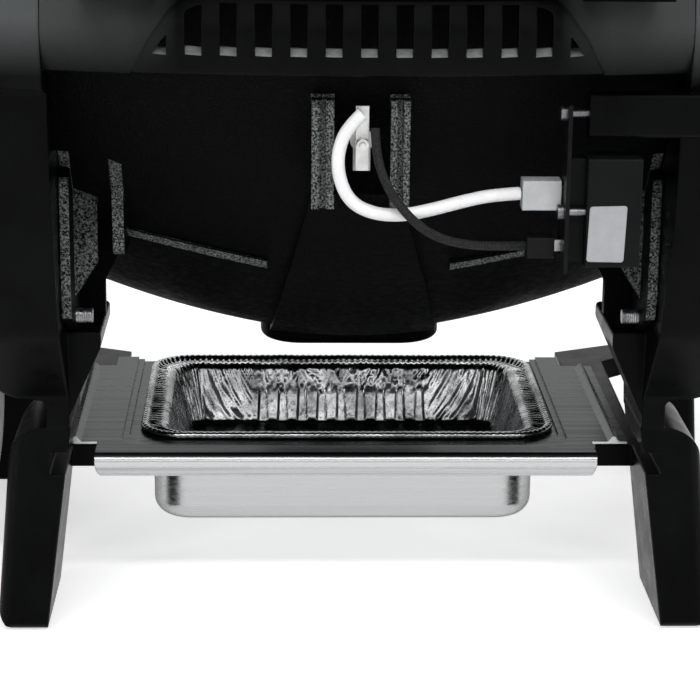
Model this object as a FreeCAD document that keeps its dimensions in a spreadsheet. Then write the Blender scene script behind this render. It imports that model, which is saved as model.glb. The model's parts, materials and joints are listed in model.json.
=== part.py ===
# Portable gas grill: an oval cast cook box and lid on a moulded frame with four legs, with two
# folding side tables, a battery spark igniter and a drip tray that slides out at the back.
# Millimetres, +Z up, front at -Y. The origin is on the ground under the middle of the cook box.
import FreeCAD, Part
import math
import os
import Sketcher
from FreeCAD import Placement, Rotation, Vector

SIZES = {
    # cook box
    "bowl_half_length": 306.0,
    "bowl_half_width": 194.0,
    "bowl_shoulder_height": 284.0,
    "bowl_depth": 183.0,
    "bowl_wall": 4.0,
    "bowl_roundness": 1.5,
    "rim_thickness": 6.0,
    "rim_overhang": 12.0,
    "oval_end_share": 0.72,
    "boss_half_length": 42.5,
    "boss_half_width": 22.0,
    "boss_drop": 1.5,
    "drain_radius": 10.0,
    "seat_gap": 0.3,
    # lid
    "lid_overhang": 1.5,
    "lid_skirt": 18.0,
    "lid_rise": 82.0,
    "lid_wall": 5.0,
    "lid_roundness": 2.2,
    "hinge_setback": 32.0,
    "hinge_lift": 8.0,
    "hinge_offset": 95.0,
    "hinge_pin_radius": 3.0,
    "hinge_eye_radius": 9.5,
    "hinge_lug_width": 16.0,
    "hinge_ear_thickness": 6.0,
    "running_gap": 0.05,
    "press_gap": 0.02,
    # lid handle
    "handle_stand_off": 40.0,
    "handle_half_length": 118.0,
    "handle_thickness": 19.0,
    "handle_height": 22.0,
    "handle_bottom": 320.0,
    "handle_post_width": 22.0,
    # thermometer
    "dial_radius": 24.0,
    "thermometer_setback": 60.0,
    "pad_rise": 2.0,
    "thermometer_stem_radius": 3.0,
    "thermometer_stem_length": 44.0,
    # grates and burner
    "grate_margin": 11.0,
    "grate_thickness": 10.0,
    "grate_level": 262.0,
    "grate_pitch": 15.0,
    "grate_slot": 7.5,
    "burner_half_length": 200.0,
    "burner_half_width": 95.0,
    "burner_height": 222.0,
    "burner_tube_radius": 10.0,
    # frame
    "band_end_gap": 39.0,
    "band_side_gap": 13.0,
    "band_thickness": 9.0,
    "band_bottom": 246.0,
    "panel_half_length": 124.9,
    "panel_bottom": 254.0,
    "vent_pitch": 13.3,
    "vent_width": 6.3,
    "vent_bottom": 261.2,
    "vent_count": 13,
    "recess_depth": 2.2,
    "front_leg_spread": 30.0,
    "foot_setback": 74.5,
    "leg_depth": 63.0,
    "axle_gap": 40.0,
    # side tables
    "table_length": 267.5,
    "table_half_width": 152.0,
    "table_thickness": 20.0,
    "table_wall": 3.0,
    "table_axle_height": 270.0,
    "table_axle_radius": 3.0,
    "table_knuckle_radius": 9.5,
    # drip tray
    "tray_shift": 3.6,
    "tray_half_width": 128.2,
    "tray_front": 61.0,
    "flange_front": 45.0,
    "flange_back": 79.5,
    "lip_half_width": 112.0,
    "tray_back": 99.0,
    "tray_level": 70.0,
    "tray_sheet": 1.2,
    "tray_lip_drop": 9.0,
    "recess_step": 1.2,
    "pan_half_width": 88.4,
    "pan_drop": 44.5,
    "rail_height": 10.0,
    "foil_shift": 2.0,
    "foil_setback": 3.0,
    "foil_half_length": 96.0,
    "foil_half_width": 67.0,
    "foil_depth": 30.0,
    "foil_sheet": 0.9,
    # igniter
    "lead_radius": 2.6,
    "ground_lead_radius": 1.8,
    # gas line
    "cylinder_radius": 49.5,
    "cylinder_axis_height": 76.0,
    "cylinder_y": 25.0,
    "cylinder_inner_end": 168.0,
    "cylinder_length": 180.0,
    "cylinder_wall": 1.2,
    "valve_reach": 322.0,
    "knob_radius": 23.0,
    "knob_y": -75.0,
    "valve_stem_radius": 4.0,
    # screws
    "bolt_radius": 3.0,
    "bolt_clearance": 0.3,
}

doc = FreeCAD.newDocument("gas_grill")
sheet = doc.addObject("Spreadsheet::Sheet", "sizes")
for row, (alias, number) in enumerate(SIZES.items(), 1):
    sheet.set(f"A{row}", alias)
    sheet.set(f"B{row}", str(number))
    sheet.setAlias(f"B{row}", alias)
doc.recompute()


class Sizes:
    """Reads a size from the sheet by its name."""

    def __getattr__(self, alias):
        return float(sheet.get(alias))


size = Sizes()
PARTS = []
X, Y, Z = Vector(1, 0, 0), Vector(0, 1, 0), Vector(0, 0, 1)
ORIGIN = Vector(0, 0, 0)


# Shapes


def feature(label, shape):
    item = doc.addObject("Part::Feature", label)
    item.Shape = shape
    item.Label = label
    PARTS.append(item)
    return item


def box(low, high):
    low, high = Vector(*low), Vector(*high)
    return Part.makeBox(high.x - low.x, high.y - low.y, high.z - low.z, low)


def rod(start, end, radius):
    start, end = Vector(*start), Vector(*end)
    return Part.makeCylinder(radius, (end - start).Length, start, end - start)


def cone(start, end, first_radius, last_radius):
    start, end = Vector(*start), Vector(*end)
    return Part.makeCone(first_radius, last_radius, (end - start).Length, start, end - start)


def prism(outline, plane, low, high):
    """A polygon given in plane xy, xz or yz, extruded from low to high along the third axis.

    A corner may carry a third number, the radius of its rounding.
    """
    place = {
        "xy": lambda u, v: Vector(u, v, low),
        "xz": lambda u, v: Vector(u, low, v),
        "yz": lambda u, v: Vector(low, u, v),
    }[plane]
    along = {"xy": Z, "xz": Y, "yz": X}[plane] * (high - low)
    spots = [place(corner[0], corner[1]) for corner in outline]
    edges, ends = [], []
    for i, corner in enumerate(outline):
        radius = corner[2] if len(corner) > 2 else 0
        if not radius:
            ends.append((spots[i], spots[i]))
            continue
        into = (spots[i] - spots[i - 1]).normalize()
        out = (spots[(i + 1) % len(spots)] - spots[i]).normalize()
        trim = radius * math.tan(into.getAngle(out) / 2)
        first, last = spots[i] - into * trim, spots[i] + out * trim
        inward = (out - into).normalize()
        middle = spots[i] + inward * (radius / math.cos(into.getAngle(out) / 2) - radius)
        ends.append((first, last))
        edges.append(Part.Arc(first, middle, last).toShape())
    for i, (_, leave) in enumerate(ends):
        arrive = ends[(i + 1) % len(ends)][0]
        if (arrive - leave).Length > 1e-6:
            edges.append(Part.LineSegment(leave, arrive).toShape())
    wire = Part.Wire(Part.__sortEdges__(edges))
    return Part.Face(wire).extrude(along)


def rounded_plate(low, high, bottom, top, corner):
    """A plate with rounded corners between two corners in plan."""
    plate = box((*low, bottom), (*high, top))
    upright = [edge for edge in plate.Edges if abs(edge.tangentAt(0).z) > 0.9]
    return plate.makeFillet(corner, upright)


def fuse(shapes):
    return shapes[0].multiFuse(shapes[1:]).removeSplitter()


def mirror_x(shape):
    return shape.mirror(ORIGIN, X)


def mirror_y(shape):
    return shape.mirror(ORIGIN, Y)


def both_sides(shape):
    return [shape, mirror_x(shape)]


def oval_wire(half_length, half_width, height, share=None):
    """Four tangent arcs: two round ends and two long sides."""
    end = (share or size.oval_end_share) * half_width
    reach = half_length - end
    side = (reach**2 + half_width**2 - end**2) / (2 * (half_width - end))
    rise = side - half_width
    slope = Vector(reach, rise, 0).normalize()
    joint = Vector(reach, 0, 0) + slope * end
    corner = [Vector(i * joint.x, j * joint.y, height) for i, j in ((1, -1), (1, 1), (-1, 1), (-1, -1))]
    middle = [
        Vector(half_length, 0, height),
        Vector(0, half_width, height),
        Vector(-half_length, 0, height),
        Vector(0, -half_width, height),
    ]
    arcs = [Part.Arc(corner[i], middle[i], corner[(i + 1) % 4]).toShape() for i in range(4)]
    return Part.Wire(arcs)


def oval_prism(half_length, half_width, low, high, share=None):
    face = Part.Face(oval_wire(half_length, half_width, low, share))
    return face.extrude(Z * (high - low))


def dome(half_length, half_width, base, depth, roundness, steps):
    """A closed dome of oval sections; a negative depth makes a bowl."""
    wires = []
    for step in steps:
        share = (1 - step**roundness) ** (1 / roundness)
        wires.append(oval_wire(half_length * share, half_width * share, base + depth * step))
    return Part.makeLoft(wires, True, False)


def pipe(path, radius):
    """A round tube along a wire that starts straight."""
    start = path.Vertexes[0].Point
    edge = path.Edges[0]
    direction = edge.tangentAt(edge.FirstParameter)
    circle = Part.Wire(Part.makeCircle(radius, start, direction))
    return Part.Wire(path).makePipeShell([circle], True, False)


def rounded_path(points, radii):
    """Straight runs joined by tangent arcs."""
    points = [Vector(*point) for point in points]
    edges, start = [], points[0]
    for before, corner, after, radius in zip(points, points[1:], points[2:], radii):
        into, out = (corner - before).normalize(), (after - corner).normalize()
        turn = into.getAngle(out)
        trim = radius * math.tan(turn / 2)
        first, last = corner - into * trim, corner + out * trim
        inward = (out - into).normalize()
        centre = corner + inward * (radius / math.cos(turn / 2))
        middle = centre - inward * radius
        edges.append(Part.LineSegment(start, first).toShape())
        edges.append(Part.Arc(first, middle, last).toShape())
        start = last
    edges.append(Part.LineSegment(start, points[-1]).toShape())
    return Part.Wire(edges)


def cord_path(points, name):
    """A cord's route with every arc as large as its two runs allow."""
    radii = []
    spots = [Vector(*point) for point in points]
    for before, corner, after in zip(spots, spots[1:], spots[2:]):
        turn = (corner - before).getAngle(after - corner)
        shorter = min((corner - before).Length, (after - corner).Length)
        radii.append(0.45 * shorter / math.tan(turn / 2))
    print(name, "radii", [round(radius, 1) for radius in radii])
    return rounded_path(points, radii)


def cylinder_object(name, radius, length, placement):
    """A cylinder of the document whose sizes follow cells of the sheet."""
    item = doc.addObject("Part::Cylinder", name)
    item.setExpression("Radius", radius)
    item.setExpression("Height", length)
    item.Placement = placement
    return item


def compound_object(label, members):
    item = doc.addObject("Part::Compound", label)
    item.Links = members
    item.Label = label
    PARTS.append(item)
    return item


def body_object(label):
    item = doc.addObject("PartDesign::Body", label)
    item.Label = label
    PARTS.append(item)
    return item


def circle_sketch(body, name, radius, centre=(0.0, 0.0), height=None):
    """A sketch with one circle, its radius bound to an expression."""
    sketch = body.newObject("Sketcher::SketchObject", name)
    plane = next(item for item in body.Origin.OriginFeatures if item.Role == "XY_Plane")
    sketch.AttachmentSupport = [(plane, "")]
    sketch.MapMode = "FlatFace"
    if height is not None:
        sketch.setExpression("AttachmentOffset.Base.z", height)
    circle = sketch.addGeometry(Part.Circle(Vector(*centre, 0), Z, 5.0), False)
    from_x = sketch.addConstraint(Sketcher.Constraint("DistanceX", -1, 1, circle, 3, centre[0]))
    from_y = sketch.addConstraint(Sketcher.Constraint("DistanceY", -1, 1, circle, 3, centre[1]))
    across = sketch.addConstraint(Sketcher.Constraint("Radius", circle, 5.0))
    sketch.setExpression(f"Constraints[{across}]", radius)
    return sketch, from_x, from_y


def pad(body, name, sketch, length):
    item = body.newObject("PartDesign::Pad", name)
    item.Profile = sketch
    item.setExpression("Length", length)
    return item


# Places that several pieces share
rim_top = size.bowl_shoulder_height + size.rim_thickness
rim_half_length = size.bowl_half_length + size.rim_overhang
rim_half_width = size.bowl_half_width + size.rim_overhang
hinge_reach = rim_half_width + size.hinge_setback
lid_base = rim_top + size.seat_gap
lid_half_length = rim_half_length + size.lid_overhang
lid_half_width = rim_half_width + size.lid_overhang
lid_shoulder = lid_base + size.lid_skirt
lid_top = lid_shoulder + size.lid_rise
handle_reach = lid_half_width + size.handle_stand_off
band_half_length = size.bowl_half_length + size.band_end_gap
band_half_width = size.bowl_half_width + size.band_side_gap
band_top = size.bowl_shoulder_height - size.seat_gap
axle_reach = band_half_length + size.axle_gap
table_reach = axle_reach + size.table_length
foot_reach = band_half_width - size.foot_setback
hinge_height = rim_top + size.hinge_lift
bowl_floor = size.bowl_shoulder_height - size.bowl_depth
boss_bottom = bowl_floor - size.boss_drop
thermometer_seat = lid_top + size.pad_rise + size.seat_gap
handle_level = size.handle_bottom + size.handle_height / 2
handle_post = size.handle_half_length - size.handle_post_width / 2
screw_seat = lid_half_width - 38
BOWL_STEPS = [0, 0.12, 0.28, 0.45, 0.62, 0.78, 0.9, 0.975]
LID_STEPS = [0, 0.2, 0.4, 0.6, 0.78, 0.9, 0.965, 0.995]


def bowl_envelope(grow, open_top=0.0):
    """The cook box's outside, grown by an amount, with a straight top if asked."""
    shape = dome(
        size.bowl_half_length + grow,
        size.bowl_half_width + grow,
        size.bowl_shoulder_height,
        -(size.bowl_depth + grow),
        size.bowl_roundness,
        BOWL_STEPS,
    )
    if open_top:
        top = oval_prism(
            size.bowl_half_length + grow,
            size.bowl_half_width + grow,
            size.bowl_shoulder_height,
            size.bowl_shoulder_height + open_top,
        )
        shape = shape.fuse(top)
    return shape


def lid_envelope(grow):
    """The lid's outside, grown by an amount."""
    length, width = lid_half_length + grow, lid_half_width + grow
    skirt = oval_prism(length, width, lid_base, lid_shoulder)
    crown = dome(length, width, lid_shoulder, size.lid_rise + grow, size.lid_roundness, LID_STEPS)
    return skirt.fuse(crown)


# Cook box

# Rear mounting lugs, in X from the outer rib inwards
LUG_OUTER = (120.0, 124.0)
LUG_PLATE = (110.0, 120.0)
LUG_INNER = (98.4, 103.2)
LUG_WEB = 110.0
LUG_FLOOR = 132.0
LUG_TOP = 202.0
LUG_BACK = size.bowl_half_width - 52.0
BOLT_Y = size.bowl_half_width - 74.0
BOLT_Z = 139.5
FRONT_BOLT_Y = 89.0 - size.bowl_half_width
ARM_INNER = LUG_OUTER[1] + 0.6
BRACKET_X = (-17.0, 21.4)
BRACKET_POCKET = (-9.4, 12.6)
BRACKET_Z = (203.0, 243.0)
BRACKET_BACK = size.bowl_half_width - 8.0
ELECTRODE = Vector(1.6, 0, 226.0)


def rear_lug():
    deep = LUG_BACK - 54
    outline = [
        (deep, LUG_FLOOR),
        (LUG_BACK - 26, LUG_FLOOR, 5),
        (LUG_BACK - 2, 143.5, 3),
        (LUG_BACK, 152, 8),
        (LUG_BACK, LUG_TOP, 4),
        (LUG_BACK - 24, LUG_TOP + 12),
        (deep, 190),
    ]
    rib = prism(outline, "yz", *LUG_OUTER)
    plate_outline = [
        (LUG_PLATE[0], LUG_TOP - 6),
        (LUG_PLATE[0], 164),
        (LUG_PLATE[1], 148),
        (LUG_PLATE[1], LUG_TOP - 2),
    ]
    plate = prism(plate_outline, "xz", LUG_BACK - 30, LUG_BACK - 19)
    inner_outline = [(LUG_BACK - 46, 166), (LUG_BACK - 12, 168, 4), (LUG_BACK - 8, LUG_TOP, 4), (LUG_BACK - 32, LUG_TOP + 8)]
    inner = prism(inner_outline, "yz", *LUG_INNER)
    web_outline = [
        (LUG_INNER[1], 190),
        (LUG_INNER[1], 160, 4),
        (LUG_WEB, 147, 6),
        (LUG_WEB, LUG_FLOOR),
        (LUG_OUTER[1], LUG_FLOOR),
        (LUG_OUTER[1], 190),
    ]
    web = prism(web_outline, "xz", LUG_BACK - 60, LUG_BACK - 54)
    return [rib, plate, inner, web]


def front_lug():
    shift = size.front_leg_spread
    low, high = LUG_OUTER[0] + shift, LUG_OUTER[1] + shift
    front = FRONT_BOLT_Y - 21
    outline = [(-70, LUG_FLOOR + 14), (front, LUG_FLOOR, 8), (front - 6, 150, 20), (front - 6, LUG_TOP), (-84, 210)]
    rib = prism(outline, "yz", low, high)
    return [rib]


def rear_bracket():
    """Two ribbed posts with a plate between them, where the spark rod enters the cook box."""
    block = box((BRACKET_X[0], 120, BRACKET_Z[0] - 3), (BRACKET_X[1], BRACKET_BACK, BRACKET_Z[1]))
    pocket_low = (BRACKET_POCKET[0], BRACKET_BACK - 10, BRACKET_Z[0] + 3)
    pocket = box(pocket_low, (BRACKET_POCKET[1], BRACKET_BACK + 1, BRACKET_Z[1] + 1))
    block = block.cut(pocket)
    for low, high in ((BRACKET_X[0], BRACKET_POCKET[0]), (BRACKET_POCKET[1], BRACKET_X[1])):
        middle = (low + high) / 2
        groove_low = (middle - 1.2, BRACKET_BACK - 2.5, BRACKET_Z[0] - 4)
        groove = box(groove_low, (middle + 1.2, BRACKET_BACK + 4, BRACKET_Z[1] + 1))
        block = block.cut(groove)
    return block


def pedestal():
    """A raised pad from the rear bracket down to the drain boss."""
    outline = [(BRACKET_X[0] + 2, 202), (-32, 140), (-39, 108), (38, 108), (33, 140), (BRACKET_X[1] - 1, 202)]
    return bowl_envelope(3).common(prism(outline, "xz", 20, 200))


def rear_beads():
    """Two low ridges cast on the back of the cook box."""
    left = prism([(98.6, 176.0), (98.6, 172.2), (39, 157.8), (39, 162.0)], "xz", 60, 220)
    right = prism([(-71.5, 166.8), (-71.5, 163.4), (-39.5, 156.8), (-39.5, 160.8)], "xz", 60, 220)
    return [bowl_envelope(1.8).common(left), bowl_envelope(1.8).common(right)]


def hinge_ears():
    """Ears that carry the lid hinge, one pair on each side."""
    radius, low = size.hinge_eye_radius, rim_top - size.rim_thickness
    base_top = hinge_height - radius - 0.5
    inner = size.hinge_offset - size.hinge_lug_width / 2 - 1
    outer = size.hinge_offset + size.hinge_lug_width / 2 + 1
    thick = size.hinge_ear_thickness
    base_outline = [
        (rim_half_width - 30, low),
        (rim_half_width + 1, low),
        (hinge_reach - 6, base_top - 1.0),
        (hinge_reach - 6, base_top),
        (rim_half_width - 30, base_top),
    ]
    foot_outline = [
        (hinge_reach - radius - 8, base_top - 1.5),
        (hinge_reach, hinge_height - radius),
        (hinge_reach, hinge_height),
        (hinge_reach - radius, hinge_height),
        (hinge_reach - radius - 8, base_top),
    ]
    shapes = [prism(base_outline, "yz", inner - thick, outer + thick)]
    for place in (inner - thick, outer):
        shapes.append(rod((place, hinge_reach, hinge_height), (place + thick, hinge_reach, hinge_height), radius))
        shapes.append(prism(foot_outline, "yz", place, place + thick))
    return shapes


def hinge_bore(grow):
    reach = size.hinge_offset + size.hinge_lug_width
    return rod(
        (size.hinge_offset - size.hinge_lug_width, hinge_reach, hinge_height),
        (reach, hinge_reach, hinge_height),
        size.hinge_pin_radius + grow,
    )


def cook_box():
    outside = [bowl_envelope(0)]
    outside.append(oval_prism(rim_half_length, rim_half_width, size.bowl_shoulder_height, rim_top))
    boss = rounded_plate(
        (-size.boss_half_length, -size.boss_half_width),
        (size.boss_half_length, size.boss_half_width),
        boss_bottom,
        bowl_floor + 14,
        size.boss_half_width - 2,
    )
    bottom = [edge for edge in boss.Edges if edge.BoundBox.ZMax < boss_bottom + 0.1]
    outside.append(boss.makeFillet(3.5, bottom))
    for lug in rear_lug() + front_lug() + hinge_ears():
        outside += both_sides(lug)
    outside += [rear_bracket(), pedestal()] + rear_beads()
    shape = outside[0].multiFuse(outside[1:])
    inside = dome(
        size.bowl_half_length - size.bowl_wall,
        size.bowl_half_width - size.bowl_wall,
        size.bowl_shoulder_height,
        -(size.bowl_depth - size.bowl_wall),
        size.bowl_roundness,
        BOWL_STEPS,
    )
    mouth = oval_prism(
        size.bowl_half_length - size.bowl_wall,
        size.bowl_half_width - size.bowl_wall,
        size.bowl_shoulder_height,
        rim_top + 20,
    )
    keep_ears = rim_half_width - 8
    mouth = mouth.common(box((-400, -keep_ears, 200), (400, keep_ears, 400)))
    shape = shape.cut(inside).cut(mouth)
    shape = shape.multiFuse([grate_ledge(), burner_post()])
    holes = [rod((0, 0, boss_bottom - 1), (0, 0, bowl_floor + 20), size.drain_radius)]
    holes += both_sides(hinge_bore(size.press_gap))
    clearance = size.bolt_radius + size.press_gap
    shift = size.front_leg_spread
    for reach, where in ((0, BOLT_Y), (shift, FRONT_BOLT_Y)):
        bolt_hole = rod((LUG_OUTER[0] + reach - 3, where, BOLT_Z), (LUG_OUTER[1] + reach + 3, where, BOLT_Z), clearance)
        holes += both_sides(bolt_hole)
    inlet = size.burner_tube_radius + 1
    holes.append(rod((230, 0, size.burner_height), (320, 0, size.burner_height), inlet))
    holes.append(rod((ELECTRODE.x, 130, ELECTRODE.z), (ELECTRODE.x, 200, ELECTRODE.z), 3.2))
    shape = shape.cut(holes[0].multiFuse(holes[1:]))
    return shape.removeSplitter()


def grate_ledge():
    top = size.grate_level - size.seat_gap
    length = size.bowl_half_length - size.bowl_wall
    width = size.bowl_half_width - size.bowl_wall
    ring = oval_prism(length, width, top - 6, top).cut(oval_prism(length - 16, width - 16, top - 7, top + 1))
    return ring.common(bowl_envelope(-1))


def burner_post():
    """A cast post that the far end of the burner rests on."""
    where = -size.burner_half_length
    top = size.burner_height - size.burner_tube_radius - size.seat_gap
    post = rod((where, 0, bowl_floor), (where, 0, top), 9)
    return post.common(bowl_envelope(-1))


# Lid


NUT_DROP = 14.0


def lid():
    shell = [lid_envelope(0)]
    middle = -size.thermometer_setback
    shell.append(rod((0, middle, lid_shoulder), (0, middle, lid_top + size.pad_rise), size.dial_radius + 8))
    radius = size.hinge_eye_radius - 2
    low = size.hinge_offset - size.hinge_lug_width / 2
    high = low + size.hinge_lug_width
    arm = box((low, lid_half_width - 24, hinge_height - radius + 1), (high, hinge_reach, hinge_height + radius))
    eye = rod((low, hinge_reach, hinge_height), (high, hinge_reach, hinge_height), radius)
    for lug in (arm, eye):
        shell += both_sides(lug)
    shape = shell[0].multiFuse(shell[1:])
    length, width = lid_half_length - size.lid_wall, lid_half_width - size.lid_wall
    skirt = oval_prism(length, width, lid_base - 5, lid_shoulder)
    crown = dome(length, width, lid_shoulder, size.lid_rise - size.lid_wall, size.lid_roundness, LID_STEPS)
    bosses = [
        rod((spot, -lid_half_width - 5, handle_level), (spot, -screw_seat, handle_level), 8)
        for spot in (-handle_post, handle_post)
    ]
    bosses.append(rod((0, middle, lid_top - NUT_DROP), (0, middle, lid_top), 11))
    room = skirt.fuse(crown).cut(bosses[0].multiFuse(bosses[1:]))
    shape = shape.cut(room)
    holes = both_sides(hinge_bore(size.running_gap))
    stem_hole = rod(
        (0, -size.thermometer_setback, lid_shoulder),
        (0, -size.thermometer_setback, lid_top + 5),
        size.thermometer_stem_radius + size.bolt_clearance,
    )
    holes.append(stem_hole)
    for spot in (-handle_post, handle_post):
        start, end = (spot, -handle_reach, handle_level), (spot, -100, handle_level)
        holes.append(rod(start, end, size.bolt_radius + size.bolt_clearance))
    shape = shape.cut(holes[0].multiFuse(holes[1:]))
    return shape.removeSplitter()


def lid_handle():
    back = lid_half_width - 60
    low, high = size.handle_bottom, size.handle_bottom + size.handle_height
    half, front = size.handle_half_length, handle_reach
    loop = rounded_plate((-half, -front), (half, -front + 80), low, high, 16)
    gap = rounded_plate(
        (-half + size.handle_post_width, -front + size.handle_thickness),
        (half - size.handle_post_width, -back + 40),
        low - 1,
        high + 1,
        8,
    )
    loop = loop.cut(gap)
    loop = loop.cut(box((-half - 1, -back - 8, low - 1), (half + 1, 0, high + 1)))
    rims = [
        edge
        for edge in loop.Edges
        if edge.BoundBox.ZLength < 0.01 and edge.BoundBox.YMax < -back - 8.5 - 0.1
    ]
    loop = loop.makeFillet(5, rims)
    shape = loop.cut(lid_envelope(size.seat_gap))
    for spot in (-handle_post, handle_post):
        start, end = (spot, -front + 12, handle_level), (spot, 0, handle_level)
        shape = shape.cut(rod(start, end, size.bolt_radius + size.press_gap))
    return shape


def handle_screws():
    screws = []
    for spot in (-handle_post, handle_post):
        start, seat = (spot, -handle_reach + 14, handle_level), (spot, -screw_seat, handle_level)
        head = rod(seat, (spot, -screw_seat + 3.5, handle_level), 5.5)
        screws.append(rod(start, seat, size.bolt_radius).fuse(head).removeSplitter())
    return Part.makeCompound(screws)


def thermometer():
    """Case, dial, lens, stem and nut on the lid's crown."""
    middle = -size.thermometer_setback
    seat = thermometer_seat
    radius = size.dial_radius
    case = rod((0, middle, seat), (0, middle, seat + 7), radius + 3)
    top = [edge for edge in case.Edges if edge.BoundBox.ZMin > seat + 6.9]
    case = case.makeFillet(1.5, top)
    case = case.cut(rod((0, middle, seat + 1.5), (0, middle, seat + 8), radius))
    case = case.cut(rod((0, middle, seat - 1), (0, middle, seat + 3), 3.4))
    dial = rod((0, middle, seat + 1.5), (0, middle, seat + 2.3), radius - 0.2)
    dial = dial.cut(rod((0, middle, seat), (0, middle, seat + 3), 3.4))
    lens = rod((0, middle, seat + 4.9), (0, middle, seat + 6.1), radius - 0.1)
    stem = rod((0, middle, seat - size.thermometer_stem_length), (0, middle, seat + 2.6), size.thermometer_stem_radius)
    return case, dial, lens, stem


def thermometer_nut():
    middle = -size.thermometer_setback
    low = lid_top - NUT_DROP - 5.1
    points = [
        Vector(8 * math.cos(math.radians(60 * i)), middle + 8 * math.sin(math.radians(60 * i)), low) for i in range(7)
    ]
    nut = Part.Face(Part.makePolygon(points)).extrude(Z * 5)
    return nut.cut(rod((0, middle, low - 1), (0, middle, low + 7), size.thermometer_stem_radius + size.running_gap))


# Grates and burner


def grate(side):
    low, high = size.grate_level, size.grate_level + size.grate_thickness
    length = size.bowl_half_length - size.bowl_wall - size.grate_margin
    width = size.bowl_half_width - size.bowl_wall - size.grate_margin
    plate = oval_prism(length, width, low, high)
    inner = oval_prism(length - 12, width - 12, low - 1, high + 1)
    slots = []
    place = 10.0
    while place + size.grate_slot < length - 14:
        slots += [
            box((place, 6, low - 1), (place + size.grate_slot, width, high + 1)),
            box((place, -width, low - 1), (place + size.grate_slot, -6, high + 1)),
        ]
        place += size.grate_pitch
    shape = plate.common(box((0.8, -width, low - 1), (length, width, high + 1)))
    shape = shape.cut(slots[0].multiFuse(slots[1:]).common(inner))
    return shape if side > 0 else mirror_x(shape)


def burner_tube():
    ring = oval_wire(size.burner_half_length, size.burner_half_width, size.burner_height, 0.9)
    start = ring.Vertexes[0].Point
    edge = ring.Edges[0]
    circle = Part.Wire(Part.makeCircle(size.burner_tube_radius, start, edge.tangentAt(edge.FirstParameter)))
    loop = ring.makePipeShell([circle], True, False)
    reach, level, radius = size.burner_half_length, size.burner_height, size.burner_tube_radius
    inlet = rod((reach, 0, level), (size.valve_reach - 22, 0, level), radius)
    throat = rod((reach + radius + 2, 0, level), (size.valve_reach - 20, 0, level), radius - 1.5)
    return loop.fuse(inlet).cut(throat).removeSplitter()


# Frame

SILL_SLOPE = 0.54
# A leg's inner and outer X at the foot and at its top
FOOT_X = (134.6, 157.0)
LEG_TOP_X = (123.9, 150.5)
LEG_TOP = 88.5


# Outer faces of the band and the panels: height, and how far in from the widest line
BAND_PROFILE = ((245, 6.6), (250, 4.0), (255, 2.0), (260, 0.7), (267, 0.0), (275, 0.5), (285, 2.4))
PANEL_PROFILE = ((253, 7.2), (256, 4.8), (259, 3.0), (263, 1.1), (268, 0.0), (276, 0.6), (285, 2.6))


def band_skin(profile, shrink=0.0):
    """A solid inside the softly rounded outer face."""
    wires = [
        oval_wire(band_half_length - inset - shrink, band_half_width - inset - shrink, height)
        for height, inset in profile
    ]
    return Part.makeLoft(wires, True, False)


def band(profile, low, high, thickness):
    """A strip of the frame's upper wall round the cook box, between two corners of a box."""
    inner = oval_prism(band_half_length - thickness, band_half_width - thickness, low[2] - 1, high[2] + 1)
    return band_skin(profile).cut(inner).common(box(low, high))


def leg_section(height, inner, outer, front, back):
    """A level section through a leg, with its outer back corner well rounded."""
    corners = [(inner, front, 3), (outer, front, 5), (outer, back, 8), (inner, back, 2)]
    slab = prism(corners, "xy", height, height + 1)
    return min(slab.Faces, key=lambda item: item.CenterOfMass.z).OuterWire


def leg():
    """A slanted, tapered leg with a flat foot."""
    top, back = LEG_TOP, band_half_width - 89
    front = foot_reach - size.leg_depth
    foot_section = leg_section(0, *FOOT_X, front, foot_reach)
    top_section = leg_section(top, *LEG_TOP_X, front - 5, back)
    shape = Part.makeLoft([foot_section, top_section], True, True)
    front_view = [(LEG_TOP_X[0], top), (FOOT_X[0], 0, 2), (FOOT_X[1], 0, 9), (LEG_TOP_X[1], top, 17)]
    side_view = [(front - 6, top + 1), (front - 0.5, 0, 4), (foot_reach + 0.5, 0, 5), (back + 1, top + 1)]
    return shape.common(prism(front_view, "xz", 0, 300)).common(prism(side_view, "yz", 0, 300))


def arm(spread, end):
    """One leg and the arm above it; end is 1 at the back and -1 at the front."""
    above, knee = size.band_bottom + 20, LEG_TOP - 4
    band_end = size.panel_half_length + size.seat_gap
    front_view = [
        (band_end, above),
        (band_end, size.band_bottom + 1),
        (ARM_INNER, size.band_bottom - 1),
        (ARM_INNER, 138),
        (LEG_TOP_X[0] + 0.2, 100),
        (LEG_TOP_X[0] + 0.5, knee),
        (134, knee),
        (134, 101, 3),
        (151, 103, 14),
        (200, 180, 60),
        (234, 240, 30),
        (240, above),
    ]
    back = band_half_width
    side_view = [
        (back - 4, above),
        (back - 4, size.band_bottom),
        (back - 32, size.band_bottom - 2, 3),
        (back - 34, 215, 20),
        (back - 38, 184, 30),
        (back - 49, 156, 40),
        (back - 57, 138, 30),
        (back - 88, 102, 10),
        (back - 89.5, knee),
        (65, knee),
        (62, 104, 4),
        (62, above),
    ]
    shape = prism(front_view, "xz", 0, 300).common(prism(side_view, "yz", 0, 400))
    web_view = [(128, LUG_FLOOR - 0.5), (LUG_WEB, LUG_FLOOR - 0.5, 2), (LUG_WEB, 125, 6), (125, 92), (128, 92)]
    shape = shape.multiFuse([prism(web_view, "xz", 63, back - 89), leg()])
    shape.translate(X * spread)
    if end < 0:
        shape = mirror_y(shape)
    return shape


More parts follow.
